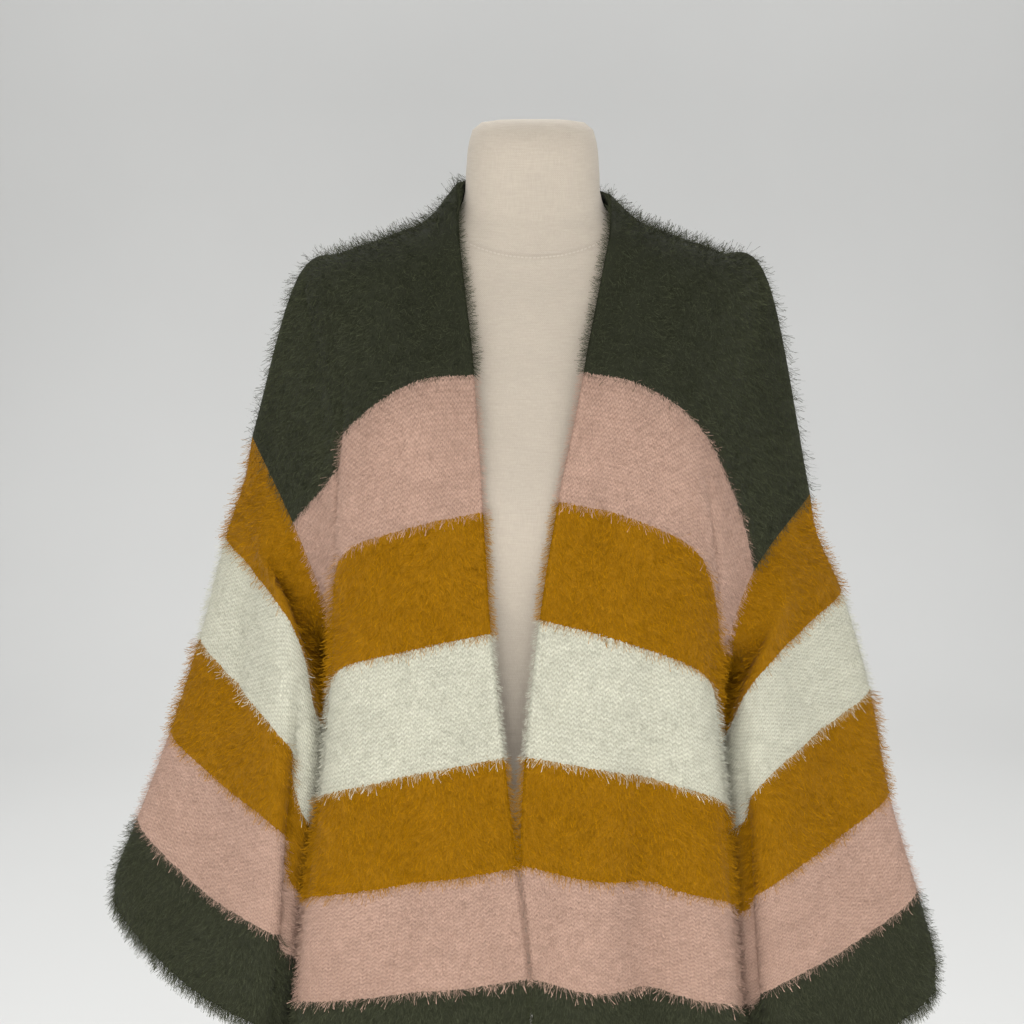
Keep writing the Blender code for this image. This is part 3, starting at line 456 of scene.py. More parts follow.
SECTIONS = torso_sections(TORSO_STEP)
WIDEST = int(np.argmax(SECTIONS[:, 1]))


def shoulder_height(x):
    """Height of the torso's shoulder line at a distance x from the middle."""
    upper = SECTIONS[WIDEST:]
    return np.interp(np.abs(x), upper[::-1, 1], upper[::-1, 0])


def circle(sides):
    """Cosines and sines of the places round a ring."""
    turns = 2 * np.pi * np.arange(sides) / sides
    return np.cos(turns), np.sin(turns)


def torso_rings(sections, sides):
    """The torso's sections as rings of points."""
    across, along = circle(sides)
    rings = []
    for z, width, front, back in sections:
        x = width * np.sign(across) * np.abs(across) ** (2 / ROUNDNESS)
        depth = np.where(along > 0, back, front)
        y = depth * np.sign(along) * np.abs(along) ** (2 / ROUNDNESS)
        rings.append(np.stack([x, y, np.full_like(x, z)], -1))
    return rings


def stacked_rings(rings):
    """Points and faces of a solid of stacked rings, closed by a flat face at both ends."""
    sides = len(rings[0])
    points = [tuple(point) for ring in rings for point in ring]
    faces = [tuple(reversed(range(sides)))]
    for row in range(len(rings) - 1):
        for side in range(sides):
            low = row * sides + side
            low_next = row * sides + (side + 1) % sides
            faces.append((low, low_next, low_next + sides, low + sides))
    faces.append(tuple(range((len(rings) - 1) * sides, len(rings) * sides)))
    return points, faces


TORSO_TREE = BVHTree.FromPolygons(*stacked_rings(torso_rings(SECTIONS, TORSO_SIDES)))


def off_torso(point, gap):
    """The shortest move that makes a point clear the torso by the gap, or none."""
    nearest, outwards = TORSO_TREE.find_nearest(Vector(point))[:2]
    short = gap - (Vector(point) - nearest).dot(outwards)
    return np.array(outwards) * max(short, 0.0)


def drape(grid, stripe, from_edge):
    """Pulls the rows near the shoulder seam taut over the torso and sets the rest off it.

    from_edge is each column's place across its front, which fades the pull towards the armhole.
    """
    grid = grid.copy()
    pull = (1 - ramp(from_edge, *TAUT_FADE))[:, None]
    gaps = FORM_GAP + (DRAPE_GAP - FORM_GAP) * ramp(stripe, 0, EASE_STRIPES)

    def set_off(row):
        for column in range(grid.shape[1]):
            grid[row, column] += off_torso(grid[row, column], gaps[row])

    taut = [row for row in range(1, len(stripe)) if stripe[row] < TAUT_STRIPES]
    for _ in range(TAUT_PASSES):
        for row in taut:
            share = (stripe[row] - stripe[row - 1]) / (stripe[row + 1] - stripe[row - 1])
            level = (1 - share) * grid[row - 1] + share * grid[row + 1]
            grid[row] += pull * (level - grid[row])
            set_off(row)
    for row in range(len(taut) + 1, len(stripe)):
        set_off(row)
    return grid


# ---------------- the cloth's surfaces


def seam_line(armhole, face, stripe):
    """The armhole on the front or the back, and below the underarm the side seam."""
    first = armhole.front_1 if face == "front" else armhole.back_1
    second = armhole.front_2 if face == "front" else armhole.back_2
    knots = [0, 1, 2, UNDERARM]
    points = [armhole.top, first, second, armhole.underarm]
    upper = smooth_curve(knots, points, np.minimum(stripe, UNDERARM))
    below = np.maximum(stripe - UNDERARM, 0)
    x, y, z = armhole.underarm
    spread = SIDE_SPREAD * np.sin(0.5 * np.pi * below / (BODY_STRIPES - UNDERARM))
    lower = np.stack([x + np.sign(x) * spread, np.full_like(below, y), z - BAND * below], -1)
    return np.where((stripe <= UNDERARM)[:, None], upper, lower)


def shoulder_line(side, across):
    """The shoulder seam: it lies on the torso's shoulder and drops past it to the armhole."""
    lines, armhole = SHAPES[side]
    points = smooth_curve(ACROSS_FRONT, [*lines[0], armhole.top], across)
    on_form = np.abs(points[:, 0]) < SECTIONS[WIDEST, 1]
    lowest = shoulder_height(points[:, 0]) + FORM_GAP
    points[:, 2] = np.where(on_form, np.maximum(points[:, 2], lowest), points[:, 2])
    return points


def grid_normals(grid):
    """Unit normals that point away from the wearer, from the lines that cross at each point."""
    return unit(np.cross(np.gradient(grid, axis=0), np.gradient(grid, axis=1)))


def press_folds(grid, normals, across, stripe, folds, is_tube=False):
    """Moves a grid's points along its normals, inwards in a fold and outwards on a ridge."""
    inward = np.zeros(grid.shape[:2])
    for fold in folds:
        apart = np.abs(across - fold.across)
        if is_tube:
            apart = np.minimum(apart, 1 - apart)
        profile = np.exp(-((apart / fold.width) ** 2))
        inward += fold.depth * np.outer(ramp(stripe, fold.starts, fold.full), profile)
    return grid - normals * inward[..., None]


def between(knots, columns, across):
    """The grid between control columns that stand at the knots."""
    return smooth_curve(knots, columns.transpose(1, 0, 2), across).transpose(1, 0, 2)


def front_grid(side, across, stripe):
    """A front's points: a row for each stripe line, a column for each place across."""
    lines, armhole = SHAPES[side]
    columns = smooth_curve(range(BODY_STRIPES + 1), lines, stripe)
    seam = seam_line(armhole, "front", stripe)
    grid = between(ACROSS_FRONT, np.concatenate([columns, seam[:, None]], axis=1), across)
    lead = 1 - ramp(stripe, 0, SEAM_BLEND)
    grid += (shoulder_line(side, across) - grid[0]) * lead[:, None, None]
    if side == "right":
        grid, across = grid[:, ::-1], across[::-1]
    grid = press_folds(grid, grid_normals(grid), across, stripe, FRONT_FOLDS[side])
    return drape(grid, stripe, across)


def back_half(side):
    """Control points of one half of the back, a row for each stripe line, from its centre."""
    lines, armhole = SHAPES[side]
    sign = -1 if side == "right" else 1
    neck, _, shoulder, flank = lines[0]
    rows = [[BACK_NECK, neck, shoulder, flank, armhole.top]]
    seams = seam_line(armhole, "back", np.arange(BODY_STRIPES + 1.0))
    for (turn_x, centre_y, turn_y, centre_z, turn_drop), seam in zip(BACK, seams[1:]):
        turn = np.array([sign * turn_x, turn_y, centre_z - turn_drop])
        flank = (turn + seam) / 2 + np.array([sign * FLANK_BULGE, 0, -FLANK_SAG])
        below_neck = (neck[0], centre_y - NECK_FORWARD, centre_z - NECK_DROP)
        rows.append([(0.0, centre_y, centre_z), below_neck, turn, flank, seam])
    return rows


def back_grid(across, stripe):
    """The back's points, from the left side seam round to the right one."""
    halves = {}
    for side, (_, armhole) in SHAPES.items():
        columns = smooth_curve(range(BODY_STRIPES + 1), back_half(side), stripe)
        columns[:, -1] = seam_line(armhole, "back", stripe)
        halves[side] = columns
    knots = [-place for place in reversed(ACROSS_BACK)] + ACROSS_BACK[1:]
    columns = np.concatenate([halves["left"][:, ::-1], halves["right"][:, 1:]], axis=1)
    grid = between(knots, columns, across)
    grid = press_folds(grid, grid_normals(grid), across, stripe, BACK_FOLDS)
    lead = 1 - ramp(stripe, 0, SEAM_BLEND)
    for side, sign in (("left", -1), ("right", 1)):
        on_shoulder = sign * across >= NECK_HALF - 1e-9
        shoulder = shoulder_line(side, sign * across[on_shoulder] - NECK_HALF)
        grid[:, on_shoulder] += (shoulder - grid[0, on_shoulder]) * lead[:, None, None]
    return drape(grid, stripe, np.abs(across) - NECK_HALF)


def ring_points(ring):
    """Control points round a sleeve at one stripe line: outer fold, front, inside, back."""
    outer, front, beside, inner = metres(ring[:4])
    sag = np.array([0, 0, ring[4] / 1000])
    back = front.copy()
    back[0] += np.sign(back[0]) * SLEEVE_BACK_OUT
    back[1] = 2 * SLEEVE_CENTRE_Y - front[1]
    centre = (outer + inner) / 2

    def rounded_out(here, there, fullness):
        return centre + fullness * (here + there - 2 * centre)

    outer_front = rounded_out(outer, front, OUTER_FULLNESS) - sag
    inner_back = rounded_out(inner, back, INNER_FULLNESS)
    outer_back = rounded_out(back, outer, OUTER_FULLNESS) - sag
    return [outer, outer_front, front, beside, inner, inner_back, back, outer_back]


def leaving_steps(side, around):
    """The step from the armhole to the first line of the sleeve, at each place around."""
    outwards = np.full_like(around, -1 if side == "right" else 1)
    forwards = np.where(around <= 0.5, -1, 1)
    signs = np.stack([outwards, forwards, np.full_like(around, -1)], -1)
    return smooth_curve(LEAVE_AT, LEAVE, around) * signs


def sleeve_grid(side, around, stripe):
    """A sleeve's points: a row for each stripe line, a column for each place around."""
    armhole = SHAPES[side][1]
    places = np.arange(-WRAP, ROUND_STEPS + WRAP + 1)
    on_front = seam_line(armhole, "front", 2 * UNDERARM * around)
    on_back = seam_line(armhole, "back", 2 * UNDERARM * (1 - around))
    armhole_ring = np.where((around <= 0.5)[:, None], on_front, on_back)
    rows = [armhole_ring, armhole_ring + leaving_steps(side, around)]
    for ring in SLEEVES[side]:
        points = np.array(ring_points(ring))[places % ROUND_STEPS]
        rows.append(smooth_curve(places / ROUND_STEPS, points, around))
    grid = smooth_curve([0.0, LEAVE_STRIPES, *range(1, SLEEVE_STRIPES + 1)], rows, stripe)
    if side == "left":
        grid, around = grid[:, ::-1], around[::-1]
    closed = np.concatenate([grid[:, -1:], grid, grid[:, :1]], axis=1)
    normals = grid_normals(closed)[:, 1:-1]
    return press_folds(grid, normals, around, stripe, SLEEVE_FOLDS[side], is_tube=True)


def corner_key(point):
    return tuple(np.round(point, 6) + 0.0)


def piece_normals(grid, is_tube):
    """Unit normals at a grid's points, from the cells round each point."""
    after = np.roll(grid, -1, axis=1)
    cells = unit(np.cross(after[1:] - grid[:-1], after[:-1] - grid[1:]))
    if not is_tube:
        cells[:, -1] = 0
    normals = np.zeros_like(grid)
    normals[:-1] += cells + np.roll(cells, 1, axis=1)
    normals[1:] += cells + np.roll(cells, 1, axis=1)
    return unit(normals)


def shared_normals(cloths):
    """Normals at every point of every piece, the same on both sides of a seam."""
    total = defaultdict(lambda: np.zeros(3))
    for cloth in cloths:
        normals = piece_normals(cloth.grid, cloth.is_tube)
        for point, normal in zip(cloth.grid.reshape(-1, 3), normals.reshape(-1, 3)):
            total[corner_key(point)] += normal
    return [
        unit(np.array([[total[corner_key(point)] for point in row] for row in cloth.grid]))
        for cloth in cloths
    ]


def cells_of(index, is_tube):
    """The four corners of each cell of a grid, in the order that faces away from the wearer."""
    after = np.roll(index, -1, axis=1)
    cells = np.stack([index[:-1], index[1:], after[1:], after[:-1]], axis=-1)
    return (cells if is_tube else cells[:, :-1]).reshape(-1, 4)


def press_creases(name, grid, stripe, across, is_tube, width):
    """The grid with its piece's creases pressed in along its normals."""
    u, v = np.meshgrid(across * width, stripe * BAND)
    inward = np.zeros_like(u)
    for across_0, stripe_0, across_1, stripe_1, wide, depth in PIECES[name].creases:
        start = np.array([across_0 * width, stripe_0 * BAND])
        run = np.array([across_1 * width, stripe_1 * BAND]) - start
        length = np.hypot(*run)
        run /= length
        for turn in (-1, 0, 1) if is_tube else (0,):
            shift = u + turn * width - start[0]
            along = (shift * run[0] + (v - start[1]) * run[1]) / length
            aside = shift * run[1] - (v - start[1]) * run[0]
            fade = np.sin(np.pi * np.clip(along, 0, 1)) ** CREASE_FADE
            inward += depth * fade * np.exp(-((aside / wide) ** 2))
    inward *= ramp(v, 0.0, CREASE_CLEAR)
    if not is_tube:
        side = np.abs(across).max() * width
        inward *= ramp(side - np.abs(u), 0.0, CREASE_CLEAR)
    return grid - piece_normals(grid, is_tube) * inward[..., None]


def cloth_pieces():
    """The five cloth pieces' fine grids, with their creases."""
    roll = EDGE_ROLL / BAND
    upper = UNDERARM * np.linspace(0, 1, SHELL_ARMHOLE_ROWS + 1) ** ARMHOLE_CROWD
    lower = np.linspace(UNDERARM, BODY_STRIPES, SHELL_SKIRT_ROWS + 1)[1:]
    stripe = np.concatenate([upper, lower[:-1], [BODY_STRIPES - roll, BODY_STRIPES]])
    front = np.linspace(0, 1, SHELL_COLUMNS + 1)
    front = np.insert(front, 1, EDGE_ROLL / FRONT_WIDTH)
    neck = np.linspace(-NECK_HALF, NECK_HALF, SHELL_NECK_COLUMNS + 1)[1:-1]
    half = front + NECK_HALF
    back = np.concatenate([-half[::-1], neck, half])
    around = np.concatenate([upper / (2 * UNDERARM), 1 - upper[-2:0:-1] / (2 * UNDERARM)])
    cuff = SLEEVE_STRIPES * np.linspace(0, 1, SHELL_SLEEVE_ROWS + 1) ** SLEEVE_CROWD
    cuff = np.insert(cuff, -1, SLEEVE_STRIPES - roll)
    body = (False, FRONT_WIDTH)
    tube = (True, SLEEVE_GIRTH)
    plain = [
        ("cardigan_front_right", front_grid("right", front, stripe), stripe, front[::-1], *body),
        ("cardigan_front_left", front_grid("left", front, stripe), stripe, front, *body),
        ("cardigan_back", back_grid(back, stripe), stripe, back, *body),
        ("cardigan_sleeve_right", sleeve_grid("right", around, cuff), cuff, around, *tube),
        ("cardigan_sleeve_left", sleeve_grid("left", around, cuff), cuff, around[::-1], *tube),
    ]
    return [Cloth(*cloth)._replace(grid=press_creases(*cloth)) for cloth in plain]


# ---------------- materials


class Graph:
    """Shorthand for a material's nodes, whose inputs are numbers or other nodes' outputs."""

    def __init__(self, name):
        self.material = bpy.data.materials.new(name)
        self.material.use_nodes = True
        self.tree = self.material.node_tree
        self.shader = self.tree.nodes["Principled BSDF"]

    def add(self, kind, inputs=None, **settings):
        """A new node of a kind, with its settings and its inputs."""
        node = self.tree.nodes.new("ShaderNode" + kind)
        for key, value in settings.items():
            setattr(node, key, value)
        self.feed(node, inputs or {})
        return node

    def feed(self, node, inputs):
        for key, value in inputs.items():
            if isinstance(value, bpy.types.NodeSocket):
                self.tree.links.new(value, node.inputs[key])
            else:
                node.inputs[key].default_value = value

    def math(self, operation, *values):
        return self.add("Math", dict(enumerate(values)), operation=operation).outputs[0]

    def times(self, *values):
        return reduce(lambda first, second: self.math("MULTIPLY", first, second), values)

    def plus(self, *values):
        return reduce(lambda first, second: self.math("ADD", first, second), values)

    def wave(self, value, rate):
        return self.math("SINE", self.times(value, rate))

    def noise(self, vector, kind):
        inputs = zip(("Vector", "Scale", "Detail", "Roughness"), (vector, *kind[:3]))
        return self.add("TexNoise", dict(inputs)).outputs["Fac"]

    def remap(self, value, *ranges):
        """A value turned from a range, its low and high, to another."""
        inputs = zip(("Value", "From Min", "From Max", "To Min", "To Max"), (value, *ranges))
        return self.add("MapRange", dict(inputs)).outputs["Result"]

    def spread(self, noise, kind):
        """A noise between its kind's least and most."""
        return self.remap(noise, *NOISE_RANGE, kind.low, kind.high)

    def uneven(self, vector, kind):
        """A new noise, spread like that."""
        return self.spread(self.noise(vector, kind), kind)

    def attribute(self, name, output="Fac"):
        return self.add("Attribute", attribute_name=name).outputs[output]

    def vector(self, operation, inputs):
        return self.add("VectorMath", inputs, operation=operation).outputs[0]

    def plain(self, colour):
        node = self.add("RGB")
        node.outputs[0].default_value = (*colour, 1)
        return node.outputs[0]

    def paint(self, colour, shade, **settings):
        """Gives the shader its colour, multiplied by a shade, and its plain settings."""
        scaled = self.vector("SCALE", {0: colour, "Scale": shade})
        self.feed(self.shader, {"Base Color": scaled})
        self.feed(self.shader, {key.replace("_", " "): value for key, value in settings.items()})

    def bump(self, height, strength, distance):
        inputs = {"Height": height, "Strength": strength, "Distance": distance}
        self.feed(self.shader, {"Normal": self.add("Bump", inputs).outputs[0]})


def band_ramp(graph, stripe, bands):
    """The colour of each stripe, with a hard change between them."""
    node = graph.add("ValToRGB", {0: graph.math("DIVIDE", stripe, float(len(bands)))})
    node.color_ramp.interpolation = "CONSTANT"
    elements = node.color_ramp.elements
    elements.remove(elements[-1])
    for index, band in enumerate(bands):
        element = elements.new(index / len(bands)) if index else elements[0]
        element.color = (*YARNS[band].colour, 1)
    return node.outputs[0]


def stitches_shown(graph, stripe, bands):
    """How far the stitches show in each stripe."""
    shown = []
    for index, band in enumerate(bands):
        inside = graph.math("COMPARE", stripe, index + 0.5, 0.5)
        shown.append(graph.times(inside, YARNS[band].stitches))
    return graph.plus(*shown)


def knit_material(name, bands):
    """The knit under the pile: stitches in slanted rows, with the stripes worked across."""
    graph = Graph(name)
    across, down, stripe = (graph.attribute(key) for key in ("across_m", "down_m", "stripe"))
    cloth = graph.add("CombineXYZ", {0: across, 1: down}).outputs[0]
    ragged = graph.remap(graph.noise(cloth, KNIT_EDGE), 0.0, 1.0, KNIT_EDGE.low, KNIT_EDGE.high)
    stripe = graph.plus(stripe, ragged)
    # a column of stitches is a row of Vs: waves that slant down on one side and up on the other
    column = graph.math("PINGPONG", graph.math("DIVIDE", across, STITCH_WIDTH), 0.5)
    course = graph.math("DIVIDE", down, STITCH_HEIGHT)
    course = graph.plus(course, graph.times(column, STITCH_SLANT))
    loops = graph.times(graph.wave(course, 2 * np.pi), KNIT_LOOPS)
    gaps = graph.times(graph.wave(column, 2 * np.pi), KNIT_GAPS)
    shown = stitches_shown(graph, stripe, bands)
    relief = graph.math("MULTIPLY_ADD", graph.plus(loops, gaps), shown, 0.5)
    fibre = graph.noise(cloth, KNIT_FIBRE)
    # painted shade in the gaps between the stitches and painted light on their loops, with fibres
    # and clouds of uneven tone
    shade = graph.times(
        graph.remap(relief, 0.0, 1.0, *PAINTED_KNIT_SHADING),
        graph.spread(fibre, KNIT_FIBRE),
        graph.uneven(cloth, KNIT_CLOUDS),
    )
    graph.paint(
        band_ramp(graph, stripe, bands),
        shade,
        Roughness=0.95,
        Specular_IOR_Level=0.15,
        Sheen_Weight=0.05,
        Sheen_Roughness=0.5,
    )
    graph.bump(graph.plus(relief, graph.times(fibre, KNIT_FUZZ)), strength=0.6, distance=0.0012)
    return graph.material


def pile_material(name, bands):
    """The strands: their root's stripe, with painted shade at the root and painted light at the
    tip, and uneven from one to the next.
    """
    graph = Graph(name)
    stripe, shade, tip = (graph.attribute(key) for key in ("stripe", "shade", "tip"))
    shade = graph.remap(shade, 0.0, 1.0, *PILE_SHADES)
    # painted shade at the roots and painted light towards the tips, carried by the tip attribute
    graph.paint(
        band_ramp(graph, stripe, bands),
        graph.times(shade, graph.plus(tip, PAINTED_ROOT_SHADE)),
        Roughness=0.85,
        Specular_IOR_Level=0.06,
        Sheen_Weight=0.03,
        Sheen_Roughness=0.4,
        Sheen_Tint=(1.0, 0.95, 0.80, 1),
    )
    # a strand is lit partly like the cloth it lies on and partly like itself
    own = graph.add("NewGeometry").outputs["Normal"]
    both = graph.vector("ADD", {0: graph.attribute("lie", "Vector"), 1: own})
    graph.feed(graph.shader, {"Normal": graph.vector("NORMALIZE", {0: both})})
    return graph.material


def linen_material():
    """Plain-woven linen drawn tight over the form, with slubs and the neck's seam."""
    graph = Graph("linen")
    place = graph.add("TexCoord").outputs["Object"]
    x, y, z = graph.add("SeparateXYZ", {0: place}).outputs
    weave = graph.times(graph.wave(x, LINEN_WAVES), graph.wave(z, LINEN_WAVES), 0.5)
    weave = graph.plus(weave, 0.5)
    slubs = []
    for scale in SLUB_SCALES:
        stretched = graph.add("Mapping", {"Vector": place, "Scale": scale}).outputs[0]
        slubs.append(graph.noise(stretched, LINEN_THREAD))
    # the neck's seam: a row of light stitches in a slight shadow
    seam = graph.math("MULTIPLY_ADD", y, NECK_SEAM_SLOPE, NECK_SEAM_Z)
    seam = graph.math("MULTIPLY_ADD", graph.times(x, x), NECK_SEAM_CURVE, seam)
    apart = graph.math("ABSOLUTE", graph.math("SUBTRACT", z, seam))
    dash = graph.remap(graph.wave(x, SEAM_WAVES), *SEAM_DASH, 0.0, 1.0)
    thread = graph.times(graph.remap(apart, *SEAM_THREAD, 1.0, 0.0), dash)
    shade = graph.times(
        *(graph.spread(slub, LINEN_THREAD) for slub in slubs),
        graph.remap(weave, 0.0, 1.0, *LINEN_SHADES),
        graph.uneven(place, LINEN_CLOUDS),
        graph.remap(apart, *SEAM_SHADOW, SEAM_SHADE, 1.0),
        graph.remap(thread, 0.0, 1.0, 1.0, THREAD_SHADE),
    )
    colour = graph.plain(LINEN_COLOUR)
    graph.paint(colour, shade, Roughness=0.9, Specular_IOR_Level=0.25, Sheen_Weight=0.1)
    graph.bump(graph.plus(weave, graph.plus(*slubs)), strength=0.35, distance=0.0006)
    return graph.material


def painted_material():
    """Powder-coated steel with a faint orange peel."""
    graph = Graph("painted_steel")
    place = graph.add("TexCoord").outputs["Object"]
    graph.paint(graph.plain(STEEL_COLOUR), graph.uneven(place, STEEL_CLOUDS))
    graph.feed(graph.shader, {"Roughness": graph.uneven(place, STEEL_GLOSS)})
    graph.bump(graph.noise(place, STEEL_PEEL), strength=0.15, distance=0.0004)
    return graph.material


def floor_material():
    graph = Graph("studio_floor")
    place = graph.add("TexCoord").outputs["Object"]
    shade = graph.uneven(place, FLOOR_CLOUDS)
    graph.paint(graph.plain(FLOOR_COLOUR), shade, Roughness=0.9, Specular_IOR_Level=0.1)
    return graph.material


# ---------------- meshes


def add_object(name, data):
    new = bpy.data.objects.new(name, data)
    bpy.context.scene.collection.objects.link(new)
    return new


def add_mesh(name, points, faces, material, values=None, smooth_angle=50):
    """A mesh object: values are named numbers or vectors for its points, for the material."""
    mesh = bpy.data.meshes.new(name)
    sizes = np.array([len(face) for face in faces], np.int32)
    mesh.vertices.add(len(points))
    mesh.vertices.foreach_set("co", np.asarray(points, np.float32).ravel())
    mesh.loops.add(int(sizes.sum()))
    mesh.loops.foreach_set("vertex_index", np.concatenate(faces).astype(np.int32))
    mesh.polygons.add(len(sizes))
    mesh.polygons.foreach_set("loop_start", (np.cumsum(sizes) - sizes).astype(np.int32))
    mesh.update(calc_edges=True)
    mesh.shade_smooth()
    if smooth_angle:
        mesh.set_sharp_from_angle(angle=np.radians(smooth_angle))
    for key, numbers in (values or {}).items():
        is_vector = numbers.ndim == 2
        layer = mesh.attributes.new(key, "FLOAT_VECTOR" if is_vector else "FLOAT", "POINT")
        numbers = numbers.astype(np.float32).ravel()
        layer.data.foreach_set("vector" if is_vector else "value", numbers)
    mesh.materials.append(material)
    return add_object(name, mesh)


def add_shell(cloth, normals, material):
    """The knit itself: a thin closed shell on the grid, rounded at its free edges."""
    name, grid, stripe, across, is_tube, width = cloth
    rows, columns = grid.shape[:2]
    index = np.arange(rows * columns).reshape(rows, columns)
    layers = []
    for near, far in ((SHELL_INNER, SHELL_OUTER), (SHELL_OUTER, SHELL_INNER)):
        lift = np.full((rows, columns, 1), near)
        for edge in PIECES[name].free_edges:
            lift[EDGES[edge]] = (1 - EDGE_IN) * near + EDGE_IN * far
        layers.append((grid + normals * lift).reshape(-1, 3))
    cells = cells_of(index, is_tube)
    faces = [*(cells + index.size), *cells[:, ::-1]]
    rims = [index[0], index[-1, ::-1]]
    if is_tube:
        rims = [np.append(rim, rim[0]) for rim in rims]
    else:
        rims += [index[::-1, 0], index[:, -1]]
    for rim in rims:
        for here, after in zip(rim[:-1], rim[1:]):
            faces.append([here + index.size, after + index.size, after, here])
    stripes = np.repeat(stripe[:, None], columns, axis=1)
    values = {
        "stripe": shown_stripe(name, stripes, across),
        "down_m": stripes * BAND,
        "across_m": np.repeat(across[None] * width, rows, axis=0),
    }
    values = {key: np.tile(numbers.ravel(), 2) for key, numbers in values.items()}
    return add_mesh(name + "_knit", np.concatenate(layers), faces, material, values)


def shown_stripe(name, stripes, across):
    """The stripe number that the colours follow, which slips where the cloth folds under."""
    if name == "cardigan_sleeve_right":
        slip = np.interp(stripes, SLEEVE_SLIP_AT, SLEEVE_SLIP)
        slip = slip * ramp(across, *SLEEVE_SLIP_STARTS)
        slip = slip * (1 - SLEEVE_SLIP_EASE * ramp(across, *SLEEVE_SLIP_EASES))
        return stripes - slip * (1 - ramp(across, *SLEEVE_SLIP_ENDS))
    if name == "cardigan_front_right":
        across_0, stripe_0, across_1, stripe_1 = PIECES[name].creases[0][:4]
        crease = np.interp(stripes, (stripe_0, stripe_1), (across_0, across_1))
        slip = FRONT_SLIP * ramp(across, *(crease + step for step in FRONT_SLIP_STARTS))
        slip = slip * (1 - ramp(across, *FRONT_SLIP_ENDS))
        return stripes - slip * (1 - ramp(stripes, *FRONT_SLIP_LAST))
    return stripes


# ---------------- the pile


def pick_cells(areas, count, random):
    """Cells of a grid, picked by their area, and a place in each."""
    share = np.cumsum(areas.ravel()) / areas.sum()
    row, column = np.divmod(np.searchsorted(share, random.random(count)), areas.shape[1])
    return row, column, random.random(count), random.random(count), np.zeros(count)


def pick_edge(surface, edge, random):
    """Places along a free edge of a grid: the last of each is which way the edge faces."""
    line = surface[EDGES[edge]]
    lengths = np.linalg.norm(np.diff(line, axis=0), axis=1)
    count = int(lengths.sum() * EDGE_STRANDS * EDGE_DENSITY[edge])
    cell = np.searchsorted(np.cumsum(lengths) / lengths.sum(), random.random(count))
    along, near = random.random(count), random.random(count)
    rows, columns = surface.shape[0] - 2, surface.shape[1] - 2
    if edge == "bottom":
        return np.full(count, rows), cell, 1 - near, along, np.zeros(count)
    if edge == "first":
        return cell, np.zeros(count, int), along, near, np.full(count, -1.0)
    return cell, np.full(count, columns), along, 1 - near, np.full(count, 1.0)


def hash_noise(u, v, seed):
    """An even random number for each whole-numbered pair."""
    mixed = np.sin(u * HASH[0] + v * HASH[1] + seed * HASH[2]) * HASH[3]
    return mixed - np.floor(mixed)


